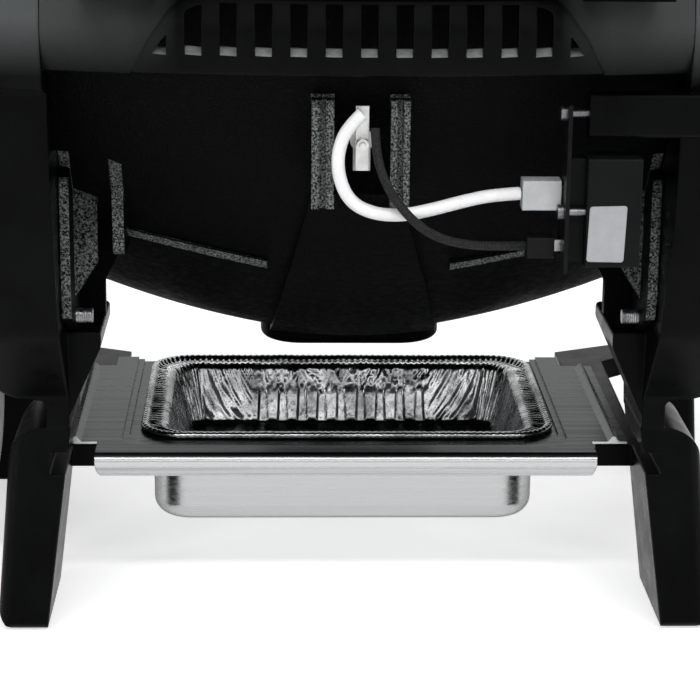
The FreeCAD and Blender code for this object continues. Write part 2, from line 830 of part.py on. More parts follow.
def end_frame():
    """The frame's right end: band, two arms with legs, table struts, rails and valve plate."""
    start = size.panel_half_length + size.seat_gap
    pieces = [band(BAND_PROFILE, (start, -300, size.band_bottom), (400, 300, band_top), size.band_thickness)]
    pieces.append(panel_tab().common(box((size.panel_half_length - 12, -300, 0), (size.panel_half_length + 10, 300, 400))))
    bowl_room = bowl_envelope(1.5, 20)
    outer_limit = band_skin(BAND_PROFILE).common(box((0, -300, size.band_bottom), (400, 300, band_top)))
    outer_limit = outer_limit.fuse(oval_prism(band_half_length - 7, band_half_width - 7, 0, size.band_bottom + 1))
    for spread, end in ((0, 1), (size.front_leg_spread, -1)):
        pieces.append(arm(spread, end).common(outer_limit).cut(bowl_room))
    for where in (-1, 1):
        low, high = sorted((where * 78, where * 102))
        level = size.table_axle_height
        strut = box((band_half_length - 24, low, level - 13), (axle_reach, high, level + 10))
        end_round = rod((axle_reach, low, level), (axle_reach, high, level), size.table_knuckle_radius + 0.5)
        pieces += [strut.cut(bowl_room), end_round]
    rail_top = size.tray_level - size.tray_sheet - size.seat_gap
    rail_outline = [(110, 80), (130, 80), (132, -58), (172, -92), (160, -100), (110, -76)]
    pieces.append(prism(rail_outline, "xy", rail_top - size.rail_height, rail_top))
    shape = pieces[0].multiFuse(pieces[1:])
    reach = size.tray_half_width + size.tray_shift + 1.5
    channel = box((100, -size.flange_front - 14, rail_top), (reach, 140, size.tray_level + 8))
    shape = shape.cut(channel)
    clearance = size.bolt_radius + size.bolt_clearance
    cuts = []
    for reach, where in ((0, BOLT_Y), (size.front_leg_spread, FRONT_BOLT_Y)):
        start = LUG_OUTER[1] + reach
        cuts.append(rod((start - 3, where, BOLT_Z), (start + 20, where, BOLT_Z), clearance))
        cuts.append(rod((start + 14, where, BOLT_Z), (start + 90, where, BOLT_Z), 8))
    axle = rod(
        (axle_reach, -120, size.table_axle_height),
        (axle_reach, 120, size.table_axle_height),
        size.table_axle_radius + size.running_gap,
    )
    cuts.append(axle)
    return shape.cut(cuts[0].multiFuse(cuts[1:])).removeSplitter()


def right_end_frame():
    """The right end also carries the plate for the gas valve and the igniter."""
    plate = box((290, PLATE_FRONT, 163), (350, PLATE_BACK, size.band_bottom + 12))
    plate = plate.common(oval_prism(band_half_length + 8, band_half_width, 0, band_top))
    shape = end_frame().fuse(plate)
    holes = [
        rod((size.valve_reach, -70, size.burner_height), (size.valve_reach, -50, size.burner_height), 7),
        rod((IGNITER_X, -70, IGNITER_Z), (IGNITER_X, -50, IGNITER_Z), 10.3),
    ]
    for where in (-VALVE_SCREW, VALVE_SCREW):
        spot = size.valve_reach + where
        holes.append(rod((spot, -70, size.burner_height), (spot, -50, size.burner_height), 2.3))
    for where in (0, STRAP_SCREW):
        start, end = (band_half_length - 30, STRAP_Y + where, STRAP_LEVEL), (400, STRAP_Y + where, STRAP_LEVEL)
        holes.append(rod(start, end, size.bolt_radius + size.press_gap))
    return shape.cut(holes[0].multiFuse(holes[1:])).removeSplitter()


def left_end_frame():
    """The left end also carries the arm that the spark module hangs from."""
    outline = [
        (MODULE_SCREW_Y - 6, MODULE_MOUNT[0], 3),
        (MODULE_SCREW_Y + 5, MODULE_MOUNT[0], 4),
        (MODULE_SCREW_Y + 5, MODULE_MOUNT[1]),
        (MODULE_SCREW_Y - 6, MODULE_MOUNT[1]),
    ]
    mount = prism(outline, "yz", -134, MODULE_X[1] + 0.2)
    shape = mirror_x(end_frame()).fuse(mount)
    start, end = (MODULE_X[1] - 12, MODULE_SCREW_Y, UPPER_SCREW_Z), (MODULE_X[1] + 24, MODULE_SCREW_Y, UPPER_SCREW_Z)
    hole = rod(start, end, 1.6 + size.press_gap)
    return shape.cut(hole).removeSplitter()


def panel_blank():
    low = (-size.panel_half_length, 0, size.panel_bottom)
    high = (size.panel_half_length, 300, band_top)
    return band(PANEL_PROFILE, low, high, size.band_thickness - size.seat_gap)


def band_face(across, shrink):
    """How far out the widest line of the band lies at a place across it, less an amount."""
    half_length, half_width = band_half_length - shrink, band_half_width - shrink
    end = size.oval_end_share * half_width
    reach = half_length - end
    side = (reach**2 + half_width**2 - end**2) / (2 * (half_width - end))
    return math.sqrt(side**2 - across**2) - (side - half_width)


def rear_panel():
    """The rear panel has a shallow recess with a row of vent slots, each with a sloped sill."""
    shape = panel_blank()
    half = size.vent_pitch * (size.vent_count - 1) / 2 + size.vent_width / 2
    low, upper = size.panel_bottom, band_top
    recess = [
        (-half - 9, low - 2),
        (half + 9, low - 2),
        (half + 0.5, low + 14, 12),
        (half - 8, upper - 3.5, 6),
        (half - 13, upper + 1),
        (13 - half, upper + 1),
        (8 - half, upper - 3.5, 6),
        (-half - 0.5, low + 14, 12),
    ]
    recess_prism = prism(recess, "xz", 0, band_half_width + 10)
    shape = shape.cut(recess_prism.cut(band_skin(PANEL_PROFILE, size.recess_depth)))
    sill, inner = size.vent_bottom, size.band_thickness - size.recess_depth
    slots = []
    for i in range(int(size.vent_count)):
        middle = (i - (size.vent_count - 1) / 2) * size.vent_pitch
        near, far = middle - size.vent_width / 2, middle + size.vent_width / 2
        face = band_face(middle, size.recess_depth)
        side_view = [
            (face + 12, sill - 12 * SILL_SLOPE),
            (face + 12, upper + 1),
            (face - 40, upper + 1),
            (face - 40, sill + inner * SILL_SLOPE),
            (face - inner, sill + inner * SILL_SLOPE),
        ]
        slots.append(prism(side_view, "yz", near, far))
    inside = [
        (-half - 0.5, sill - 1),
        (half + 0.5, sill - 1),
        (half - 4, low + 13, 4),
        (half - 15, upper - 4, 6),
        (half - 22, upper - 2),
        (22 - half, upper - 2),
        (15 - half, upper - 4, 6),
        (4 - half, low + 13, 4),
    ]
    cutter = slots[0].multiFuse(slots[1:]).common(prism(inside, "xz", 0, band_half_width + 10))
    return shape.cut(cutter).removeSplitter()


def panel_tab():
    """A tab of the end frame that a panel clips over from outside."""
    outer, inner = band_half_width - size.band_thickness, band_half_width - size.band_thickness - 3
    shell = oval_prism(band_half_length - size.band_thickness, outer, 258, 280)
    shell = shell.cut(oval_prism(band_half_length - size.band_thickness - 3, inner, 250, 290))
    return shell


# Side tables


def side_table():
    axle, level = axle_reach, size.table_axle_height
    top = level + 12
    bottom = top - size.table_thickness
    start = axle + 12
    half = size.table_half_width
    plate = rounded_plate((start, -half), (table_reach, half), bottom, top, 26)
    edges = [edge for edge in plate.Edges if edge.BoundBox.ZMin > top - 0.1]
    plate = plate.makeFillet(4, edges)
    wall = size.table_wall
    room = rounded_plate(
        (start + wall, -half + wall), (table_reach - wall, half - wall), bottom - 1, top - wall, 26 - wall
    )
    ribs = [box((start, where - 1.2, bottom), (table_reach - 1, where + 1.2, top - 1)) for where in (-75, 0, 75)]
    ribs += [box((spot - 1.2, -half + 1, bottom), (spot + 1.2, half - 1, top - 1)) for spot in (start + 85, start + 170)]
    shell = plate.cut(room)
    shell = shell.fuse(ribs[0].multiFuse(ribs[1:]).common(plate))
    inner = 77.5
    knuckle = rod((axle, -inner, level), (axle, inner, level), size.table_knuckle_radius)
    web = box((axle, -inner, level - 8), (start + wall, inner, level + 8))
    shape = shell.multiFuse([knuckle, web])
    bore = rod((axle, -100, level), (axle, 100, level), size.table_axle_radius + size.running_gap)
    shape = shape.cut(bore)
    for where in (-1, 1):
        low, high = sorted((where * inner, where * (inner + 28)))
        shape = shape.cut(box((axle - 20, low, bottom - 1), (axle + 24, high, top + 1)))
    return shape.removeSplitter()


# Drip tray


def tray():
    """A sheet tray: beaded side flanges, a stepped recess, a deep pan and a rear lip."""
    level, sheet_gap = size.tray_level, size.tray_sheet
    back, front, half = size.tray_back, -size.tray_front, size.tray_half_width
    inner_half = size.lip_half_width
    flat = box((-half, -size.flange_front, level - sheet_gap), (half, size.flange_back, level))
    flat = flat.fuse(box((-inner_half, front, level - sheet_gap), (inner_half, back - 8, level)))
    beads = []
    for side in (-1, 1):
        spot = side * (half - 6.2)
        outline = [(spot - 3, level - 0.4), (spot, level + 3, 1), (spot + 3, level - 0.4)]
        beads.append(prism(outline, "xz", 4 - size.flange_front, size.flange_back))
    drop = size.tray_lip_drop
    lip_outline = [
        (back - 8, level),
        (back, level, 4),
        (back, level - drop + 3.5, 1.5),
        (back + 1.8, level - drop, 0.4),
        (back + 0.7, level - drop - 0.5, 0.4),
        (back - sheet_gap, level - drop + 3.2, 1.5),
        (back - sheet_gap, level - sheet_gap, 2.8),
        (back - 8, level - sheet_gap),
    ]
    lip = prism(lip_outline, "yz", -inner_half, inner_half)
    ends = [
        (-inner_half, level + 1),
        (inner_half, level + 1),
        (inner_half, level - drop - 1, 6),
        (-inner_half, level - drop - 1, 6),
    ]
    lip = lip.common(prism(ends, "xz", back - 9, back + 3))
    steps = []
    for depth, reach, near in ((1, 101.5, back - 9), (2, size.foil_half_length + 2.6, back - 18)):
        floor = level - depth * size.recess_step
        steps.append((floor, reach, near))
    solids, rooms = [], []
    for floor, reach, near in steps:
        shell_low, shell_high = (-reach - sheet_gap, front - 40), (reach + sheet_gap, near + sheet_gap)
        shell = rounded_plate(shell_low, shell_high, floor - sheet_gap, level, 19 + sheet_gap)
        solids.append(shell.common(box((-200, front, 0), (200, 200, level))))
        rooms.append(rounded_plate((-reach, front - 40), (reach, near), floor, level + 5, 19))
    pan_half = size.pan_half_width
    pan_low = size.foil_setback - size.foil_half_width + 6
    pan_high = size.foil_setback + size.foil_half_width - 6
    pan_bottom = level - size.pan_drop
    pan = rounded_plate((-pan_half, pan_low), (pan_half, pan_high), pan_bottom, level - 1, 18)
    base = [edge for edge in pan.Edges if edge.BoundBox.ZMax < pan_bottom + 0.1]
    pan = pan.makeFillet(8, base)
    room_low, room_high = (sheet_gap - pan_half, pan_low + sheet_gap), (pan_half - sheet_gap, pan_high - sheet_gap)
    pan_inside = rounded_plate(room_low, room_high, pan_bottom + sheet_gap, level + 6, 18 - sheet_gap)
    low_edges = [edge for edge in pan_inside.Edges if edge.BoundBox.ZMax < pan_bottom + sheet_gap + 0.1]
    pan_inside = pan_inside.makeFillet(8 - sheet_gap, low_edges)
    shape = flat.multiFuse(beads + [lip, pan] + solids)
    shape = shape.cut(rooms[0].fuse(rooms[1])).cut(pan_inside).removeSplitter()
    shape.translate(X * size.tray_shift)
    return shape


def foil_pan():
    """A stamped foil pan: rolled rim, flared walls and a floor."""
    rim_z = size.tray_level - 0.6
    bottom = rim_z - size.foil_depth
    half_x, half_y, thin = size.foil_half_length, size.foil_half_width, size.foil_sheet

    def plate(shrink, low, high, corner):
        return rounded_plate((shrink - half_x, shrink - half_y), (half_x - shrink, half_y - shrink), low, high, corner)

    def section(shrink, height, corner):
        slab = plate(shrink, height, height + 1, corner)
        return min(slab.Faces, key=lambda item: item.CenterOfMass.z).OuterWire

    outer = Part.makeLoft([section(11, rim_z, 14), section(20, bottom, 10)], True, True)
    inner = Part.makeLoft([section(11 + thin, rim_z + 0.02, 13), section(20 + thin, bottom + thin, 9)], True, True)
    rim = plate(0, rim_z - 1.6, rim_z + 1.4, 22).cut(plate(7, rim_z - 3, rim_z + 3, 17))
    ledge = plate(6, rim_z - thin, rim_z, 17).cut(inner)
    shape = outer.cut(inner).multiFuse([rim, ledge]).removeSplitter()
    shape.translate(Vector(size.foil_shift, size.foil_setback, 0))
    return shape


# Igniter

MODULE_X = (-108.4, -86.6)
MODULE_NOSE_X = -79.7
MODULE_Y = (170.0, 187.0)
MODULE_Z = (177.0, 220.5)
MODULE_MOUNT = (228.5, 245.9)
MODULE_SCREW_Y = 183.6
UPPER_SCREW_Z = 238.0
LOWER_SCREW_Z = 198.8
WHITE_ROUTE = [
    (1.8, 188.6, 238.2),
    (8.0, 189.4, 232.6),
    (11.5, 190.0, 222.5),
    (10.5, 189.8, 212.0),
    (6.0, 189.6, 203.4),
    (-2.7, 189.6, 199.0),
    (-14.4, 189.3, 198.2),
    (-27.4, 187.0, 200.6),
    (-39.9, 182.5, 203.0),
    (-50.9, 177.5, 204.2),
    (-61.4, 175.4, 204.4),
]
BLACK_ROUTE = [
    (-3.2, 188.6, 232.5),
    (-3.4, 191.2, 222.8),
    (-7.8, 193.8, 210.2),
    (-15.4, 194.8, 199.8),
    (-25.0, 192.6, 191.4),
    (-36.9, 187.6, 186.6),
    (-50.4, 180.4, 184.0),
    (-64.0, 175.8, 183.3),
]


def module_case():
    low, high = MODULE_Z
    body = box((MODULE_X[0], MODULE_Y[0], low), (MODULE_X[1], MODULE_Y[1], high))
    upright = [edge for edge in body.Edges if edge.BoundBox.XLength < 0.1 or edge.BoundBox.ZLength < 0.1]
    body = body.makeFillet(0.8, [edge for edge in upright if edge.BoundBox.YMin > MODULE_Y[1] - 0.1])
    nose = box((MODULE_X[1] - 1, MODULE_Y[0] + 1, low + 1), (MODULE_NOSE_X, MODULE_Y[1] - 6.5, high - 1))
    shape = body.fuse(nose)
    start, end = (MODULE_X[1] - 10, MODULE_SCREW_Y, LOWER_SCREW_Z), (MODULE_X[1] + 24, MODULE_SCREW_Y, LOWER_SCREW_Z)
    screw = rod(start, end, 1.6 + size.press_gap)
    return shape.cut(screw).removeSplitter()


def module_label():
    """A bare sticker on the back of the module."""
    face = MODULE_Y[1] + size.press_gap
    corners = [(-88.0, 201.6), (-102.8, 202.0), (-102.0, 179.2), (-87.3, 179.4)]
    sticker = prism(corners, "xz", face, face + 0.25)
    return sticker.makeFillet(1.2, [edge for edge in sticker.Edges if edge.BoundBox.YLength > 0.2])


def module_plate():
    outline = [(168, 175), (190, 175), (190, 242), (179, 242), (179, 222), (168, 212)]
    plate = prism(outline, "yz", MODULE_NOSE_X + 0.1, MODULE_NOSE_X + 1.7)
    holes = [
        rod((MODULE_X[1] - 6, MODULE_SCREW_Y, level), (-60, MODULE_SCREW_Y, level), 1.6 + size.press_gap)
        for level in (UPPER_SCREW_Z, LOWER_SCREW_Z)
    ]
    for low, high in TERMINALS:
        holes.append(box((MODULE_NOSE_X - 3, 172.5, low - 1), (-60, 178.5, high + 1)))
    return plate.cut(holes[0].multiFuse(holes[1:]))


def module_screws():
    screws = []
    for level, end in ((UPPER_SCREW_Z, MODULE_X[1] - 8.8), (LOWER_SCREW_Z, MODULE_X[1] - 7.8)):
        face = MODULE_NOSE_X + 1.7
        shank = rod((end, MODULE_SCREW_Y, level), (face, MODULE_SCREW_Y, level), 1.6)
        head = rod((face + 0.02, MODULE_SCREW_Y, level), (face + 2.4, MODULE_SCREW_Y, level), 3.0)
        screws.append(shank.fuse(rod((face - 1, MODULE_SCREW_Y, level), (face + 2, MODULE_SCREW_Y, level), 1.6)).fuse(head))
    return Part.makeCompound([screw.removeSplitter() for screw in screws])


TERMINALS = ((201.2, 207.6), (181.0, 185.6))


def module_terminals():
    """Two metal blades that the leads plug onto."""
    blades = [box((MODULE_NOSE_X + 0.02, 174.5, low), (-68.4, 175.5, high)) for low, high in TERMINALS]
    return Part.makeCompound(blades)


def connector(low, high, slot):
    """A push-on housing with a slot for its blade."""
    shape = box(low, high)
    edges = [edge for edge in shape.Edges if edge.BoundBox.XLength > 5]
    shape = shape.makeFillet(0.8, edges)
    gap = size.press_gap
    return shape.cut(box((low[0] - 1, 174.5 - gap, slot[0] - gap), (-68.3, 175.5 + gap, slot[1] + gap)))


def tube_node(label, route, radius):
    path = cord_path(route, label)
    shape = pipe(path, radius)
    print(label, "length", round(path.Length, 1), "volume share", round(shape.Volume / (math.pi * radius**2 * path.Length), 4))
    feature(label, shape)


# Gas line

# Places on the gas plate at the right end
PLATE_FRONT, PLATE_BACK = -64.0, -58.0
IGNITER_X, IGNITER_Z = 306.0, 180.0
VALVE_SCREW = 13.0
STRAP_Y, STRAP_SCREW, STRAP_LEVEL = 18.0, 16.0, 265.0
REGULATOR_X = (362.0, 396.0)


def valve_body():
    reach, level = size.valve_reach, size.burner_height
    block = box((reach - 18, -12, level - 12), (reach + 18, 12, level + 12))
    block = block.makeFillet(2, block.Edges)
    neck = rod((reach, -10, level), (reach, PLATE_BACK - 0.02, level), 11)
    flange = box((reach - 18, PLATE_BACK + 0.02, level - 7), (reach + 18, PLATE_BACK + 4, level + 7))
    nozzle = rod((reach - 30, 0, level), (reach - 17, 0, level), size.burner_tube_radius - 2.6)
    inlet = rod((reach + 6, 0, level - 17), (reach + 6, 0, level - 10), 6.5)
    shape = block.multiFuse([neck, flange, nozzle, inlet])
    cuts = [rod((reach, PLATE_FRONT, level), (reach, STEM_END + 4, level), size.valve_stem_radius + size.running_gap)]
    cuts.append(rod((reach - 31, 0, level), (reach - 6, 0, level), 1.5))
    for where in (-VALVE_SCREW, VALVE_SCREW):
        spot = reach + where
        cuts.append(rod((spot, -60, level), (spot, -50, level), 2.0 + size.press_gap))
    shape = shape.cut(box((reach - 30, PLATE_FRONT - 1, level - 20), (reach + 30, PLATE_BACK + 0.02, level + 20)))
    return shape.cut(cuts[0].multiFuse(cuts[1:])).removeSplitter()


STEM_END = -39.0


def valve_screws():
    screws = []
    for where in (-VALVE_SCREW, VALVE_SCREW):
        spot, level = size.valve_reach + where, size.burner_height
        shank = rod((spot, -52, level), (spot, PLATE_FRONT - 1, level), 2.0)
        head = rod((spot, PLATE_FRONT - 0.05, level), (spot, PLATE_FRONT - 2.6, level), 3.8)
        screws.append(shank.fuse(head).removeSplitter())
    return Part.makeCompound(screws)


def gas_tube():
    reach, low = size.valve_reach + 6, size.burner_height - 17.3
    foot = size.cylinder_axis_height + 34.3
    middle = (REGULATOR_X[0] + REGULATOR_X[1]) / 2
    across = size.cylinder_y
    path = rounded_path([(middle, across, foot), (middle, across, 168), (reach, 0, 178), (reach, 0, low)], [16, 16])
    outside, inside = pipe(path, 4.0), pipe(path, 2.8)
    return outside.cut(inside)


def gas_strap():
    """A bent steel strap from the frame down to the regulator."""
    face, outer = band_half_length + 0.3, REGULATOR_X[1] + 0.05
    profile = [
        (face, STRAP_LEVEL + 12),
        (face, 250),
        (outer, 226),
        (outer, size.cylinder_axis_height - 16),
        (outer + 2, size.cylinder_axis_height - 16),
        (outer + 2, 227.5),
        (face + 2, 251.5),
        (face + 2, STRAP_LEVEL + 12),
    ]
    low, high = STRAP_Y - 9, STRAP_Y + STRAP_SCREW + 9
    shape = prism(profile, "xz", low, high)
    holes = []
    for where in (0, STRAP_SCREW):
        across = STRAP_Y + where
        holes.append(rod((face - 9, across, STRAP_LEVEL), (face + 9, across, STRAP_LEVEL), size.bolt_radius + 0.2))
    for lift in (-9, 9):
        level = size.cylinder_axis_height + lift
        holes.append(rod((outer - 5, size.cylinder_y, level), (outer + 5, size.cylinder_y, level), 2.2))
    return shape.cut(holes[0].multiFuse(holes[1:]))


def strap_screws():
    face, outer = band_half_length + 2.3, REGULATOR_X[1] + 2.05
    screws = []
    for where in (0, STRAP_SCREW):
        across = STRAP_Y + where
        shank = rod((face - 14, across, STRAP_LEVEL), (face + 1, across, STRAP_LEVEL), size.bolt_radius)
        head = rod((face + 0.02, across, STRAP_LEVEL), (face + 3, across, STRAP_LEVEL), 5.5)
        screws.append(shank.fuse(head).removeSplitter())
    for lift in (-9, 9):
        level = size.cylinder_axis_height + lift
        shank = rod((outer - 10, size.cylinder_y, level), (outer + 1, size.cylinder_y, level), 2.0)
        head = rod((outer + 0.02, size.cylinder_y, level), (outer + 2.6, size.cylinder_y, level), 4.0)
        screws.append(shank.fuse(head).removeSplitter())
    return Part.makeCompound(screws)


def regulator():
    across, level = size.cylinder_y, size.cylinder_axis_height
    low, high = REGULATOR_X
    disc = rod((high - 20, across, level), (high, across, level), 29)
    disc = disc.makeFillet(3, [edge for edge in disc.Edges if edge.BoundBox.XLength < 0.01])
    collar = rod((low - 6, across, level), (high - 10, across, level), 18)
    outlet = rod(((low + high) / 2, across, level + 10), ((low + high) / 2, across, level + 34), 7)
    shape = disc.multiFuse([collar, outlet])
    thread = rod((low - 10, across, level), (low + 11, across, level), 12.4 + size.bolt_clearance)
    cuts = [thread]
    for lift in (-9, 9):
        cuts.append(rod((high - 12, across, level + lift), (high + 5, across, level + lift), 2.0 + size.press_gap))
    return shape.cut(cuts[0].multiFuse(cuts[1:])).removeSplitter()


def gas_cylinder():
    """A small disposable gas can lying on its side, hollow, with a threaded neck."""
    radius, wall = size.cylinder_radius, size.cylinder_wall
    start, end = size.cylinder_inner_end, size.cylinder_inner_end + size.cylinder_length
    height, across = size.cylinder_axis_height, size.cylinder_y

    def can(shrink):
        reach, flat = radius - shrink, 14.0
        outline = [
            Vector(start + shrink, 0, 0),
            Vector(start + shrink, reach - flat, 0),
            Vector(start + shrink + 4, reach - 4, 0),
            Vector(start + flat, reach, 0),
            Vector(end - 28, reach, 0),
            Vector(end - 9, reach - 11, 0),
            Vector(end - shrink, flat, 0),
            Vector(end - shrink, 0, 0),
        ]
        arcs = [
            Part.LineSegment(outline[0], outline[1]).toShape(),
            Part.Arc(outline[1], outline[2], outline[3]).toShape(),
            Part.LineSegment(outline[3], outline[4]).toShape(),
            Part.Arc(outline[4], outline[5], outline[6]).toShape(),
            Part.LineSegment(outline[6], outline[7]).toShape(),
            Part.LineSegment(outline[7], outline[0]).toShape(),
        ]
        solid = Part.Face(Part.Wire(arcs)).revolve(ORIGIN, X, 360)
        solid.translate(Vector(0, across, height))
        return solid

    neck = rod((end - 4, across, height), (end + 16, across, height), 12.4)
    return can(0).cut(can(wall)).fuse(neck).removeSplitter()


def igniter_housing():
    """A tube through the gas plate with a collar in front and the battery behind."""
    x, z = IGNITER_X, IGNITER_Z
    tube = rod((x, PLATE_FRONT - 0.02, z), (x, 6, z), 10)
    collar = rod((x, PLATE_FRONT - 4, z), (x, PLATE_FRONT - 0.02, z), 13)
    collar = collar.makeFillet(1.5, [edge for edge in collar.Edges if edge.BoundBox.YMax < PLATE_FRONT - 3.9])
    room = rod((x, PLATE_FRONT - 5, z), (x, 3, z), 7.4)
    return collar.fuse(tube).cut(room).removeSplitter()


def electrode_rod():
    bend = [(ELECTRODE.x, 192, ELECTRODE.z), (ELECTRODE.x, 112, ELECTRODE.z), (ELECTRODE.x, 106, ELECTRODE.z + 12)]
    return pipe(rounded_path(bend, [4]), 1.2)


def electrode_insulator():
    x, z = ELECTRODE.x, ELECTRODE.z
    tube = rod((x, 140, z), (x, 183.1, z), 2.8)
    collar = rod((x, 176.3, z), (x, 179.2, z), 4.6)
    foot = box((x - 3.4, 176.3, z - 12), (x + 3.4, 179.2, z))
    return tube.multiFuse([collar, foot]).cut(rod((x, 130, z), (x, 190, z), 1.2 + size.press_gap)).removeSplitter()


def electrode_terminal():
    x, z = ELECTRODE.x, ELECTRODE.z
    plate = box((x - 2.6, 183.3, z - 11), (x + 2.6, 184.3, z + 14.5))
    sleeve = rod((x, 184.2, z), (x, 190, z), 2.4)
    return plate.fuse(sleeve).cut(rod((x, 180, z), (x, 199, z), 1.2 + size.press_gap)).removeSplitter()


def burner_screw():
    """A screw with a clip that holds the far side of the burner on its post."""
    where, level = -size.burner_half_length, size.burner_height
    top = level - size.burner_tube_radius - size.seat_gap
    ring = size.burner_tube_radius + 0.6
    strap = rod((where, -7, level), (where, 7, level), ring + 1.5).cut(rod((where, -8, level), (where, 8, level), ring))
    strap = strap.common(box((where - 20, -8, level - 9), (where + 20, 8, level + 20)))
    return strap


# Documents objects made from sketches


def knob():
    body = body_object("control_knob")
    base, *_ = circle_sketch(body, "knob_skirt_sketch", "sizes.knob_radius")
    pad(body, "knob_skirt", base, "7")
    grip, *_ = circle_sketch(body, "knob_grip_sketch", "sizes.knob_radius - 4.5", height="6")
    pad(body, "knob_grip", grip, "17")
    doc.recompute()
    flute, *_ = circle_sketch(body, "knob_flute_sketch", "3.2", centre=(size.knob_radius - 3.4, 0.0), height="8")
    pocket = body.newObject("PartDesign::Pocket", "knob_flute")
    pocket.Profile = flute
    pocket.Length = 20
    pocket.Reversed = True
    doc.recompute()
    pattern = body.newObject("PartDesign::PolarPattern", "knob_flutes")
    pattern.Originals = [pocket]
    pattern.Axis = (next(item for item in body.Origin.OriginFeatures if item.Role == "Z_Axis"), [""])
    pattern.Angle = 360
    pattern.Occurrences = 12
    body.Tip = pattern
    doc.recompute()
    bore, *_ = circle_sketch(body, "knob_bore_sketch", "sizes.valve_stem_radius + sizes.running_gap")
    hole = body.newObject("PartDesign::Pocket", "knob_bore")
    hole.Profile = bore
    hole.Length = 17.3
    hole.Reversed = True
    body.Tip = hole
    doc.recompute()
    body.Placement = Placement(Vector(size.valve_reach, size.knob_y, size.burner_height), Rotation(X, 90))
    return body


def round_body(label, steps, place):
    """A turned body built from stacked round pads, each given as start, length and radius."""
    body = body_object(label)
    for i, (start, length, radius) in enumerate(steps):
        sketch, *_ = circle_sketch(body, f"{label}_sketch_{i}", radius, height=start)
        pad(body, f"{label}_step_{i}", sketch, length)
    body.Placement = place
    return body


# Assembly

feature("cook_box", cook_box())
feature("lid", lid())
feature("lid_handle", lid_handle())
feature("handle_screws", handle_screws())
case, dial, lens, stem = thermometer()
feature("thermometer_case", case)
feature("thermometer_dial", dial)
feature("thermometer_lens", lens)
feature("thermometer_stem", stem)
feature("thermometer_nut", thermometer_nut())
feature("grate_right", grate(1))
feature("grate_left", grate(-1))
feature("burner_tube", burner_tube())
feature("burner_clip", burner_screw())
feature("right_end_frame", right_end_frame())
feature("left_end_frame", left_end_frame())
feature("rear_panel", rear_panel())
feature("front_panel", mirror_y(panel_blank()))
table = side_table()
feature("side_table_right", table)
feature("side_table_left", mirror_x(table))
feature("catch_pan_holder", tray())
feature("foil_pan", foil_pan())
feature("igniter_module", module_case())
feature("module_label", module_label())
feature("module_plate", module_plate())
feature("module_screws", module_screws())
feature("module_terminals", module_terminals())
feature("white_connector", connector((-77.4, 170.4, 198.4), (-62.2, 180.4, 210.4), TERMINALS[0]))
feature("black_connector", connector((-75.4, 170.8, 179.0), (-64.6, 180.0, 187.4), TERMINALS[1]))
tube_node("white_lead", WHITE_ROUTE, size.lead_radius)
tube_node("black_lead", BLACK_ROUTE, size.ground_lead_radius)
feature("electrode_rod", electrode_rod())
feature("electrode_insulator", electrode_insulator())
feature("electrode_terminal", electrode_terminal())
feature("valve_body", valve_body())
feature("valve_screws", valve_screws())
feature("gas_tube", gas_tube())
feature("gas_strap", gas_strap())
feature("strap_screws", strap_screws())
feature("regulator", regulator())
feature("gas_cylinder", gas_cylinder())
feature("igniter_housing", igniter_housing())
feature("igniter_battery", rod((IGNITER_X, -48.4, IGNITER_Z), (IGNITER_X, 2.4, IGNITER_Z), 7.1))

pins = []
for side in (-1, 1):
    low = side * size.hinge_offset - size.hinge_lug_width
    place = Placement(Vector(low, hinge_reach, hinge_height), Rotation(Y, 90))
    pins.append(cylinder_object(f"lid_pin_{side + 1}", "sizes.hinge_pin_radius", "2 * sizes.hinge_lug_width", place))
compound_object("hinge_pins", pins)

pins = []
for side in (-1, 1):
    for where in (-104, 60):
        place = Placement(Vector(side * axle_reach, where + 44, size.table_axle_height), Rotation(X, 90))
        pins.append(cylinder_object(f"table_pin_{side + 1}_{where + 104}", "sizes.table_axle_radius", "44", place))
compound_object("table_pins", pins)

bolts = []
for reach, where in ((0, BOLT_Y), (size.front_leg_spread, FRONT_BOLT_Y)):
    seat = LUG_OUTER[1] + reach + 14
    bolt = rod((LUG_OUTER[0] + reach - 7, where, BOLT_Z), (seat + 1, where, BOLT_Z), size.bolt_radius)
    bolt = bolt.fuse(rod((seat + 0.05, where, BOLT_Z), (seat + 4.5, where, BOLT_Z), 6.5)).removeSplitter()
    bolts += both_sides(bolt)
feature("frame_bolts", Part.makeCompound(bolts))

knob()
stem_place = Placement(Vector(size.valve_reach, STEM_END, size.burner_height), Rotation(X, 90))
round_body("valve_stem", [("0", "53", "sizes.valve_stem_radius")], stem_place)
button_place = Placement(Vector(IGNITER_X, -53, IGNITER_Z), Rotation(X, 90))
round_body("igniter_button", [("0", "19", "7.35"), ("18.5", "1.5", "6.6")], button_place)
needle_place = Placement(Vector(0, -size.thermometer_setback, thermometer_seat + 2.95), Rotation(Z, 125))
needle = body_object("thermometer_needle")
hub, *_ = circle_sketch(needle, "needle_hub_sketch", "2.6")
pad(needle, "needle_hub", hub, "0.8")
pointer = needle.newObject("Sketcher::SketchObject", "needle_pointer_sketch")
pointer.AttachmentSupport = [(next(i for i in needle.Origin.OriginFeatures if i.Role == "XY_Plane"), "")]
pointer.MapMode = "FlatFace"
corners = [Vector(-1.4, -7, 0), Vector(1.4, -7, 0), Vector(0.35, 19, 0), Vector(-0.35, 19, 0)]
for first, second in zip(corners, corners[1:] + corners[:1]):
    pointer.addGeometry(Part.LineSegment(first, second), False)
pad(needle, "needle_pointer", pointer, "0.6")
needle.Placement = needle_place

# Export

os.makedirs("parts", exist_ok=True)
doc.recompute()
for item in doc.Objects:
    states = [state for state in item.State if state in ("Invalid", "Error")]
    assert not states, f"{item.Label} {states}"
for item in PARTS:
    shape = item.Shape
    assert not shape.isNull() and shape.isValid(), item.Label
    print(item.Label, len(shape.Solids), round(shape.Volume / 1000, 2))
    shape.exportStep(f"parts/{item.Label}.step")
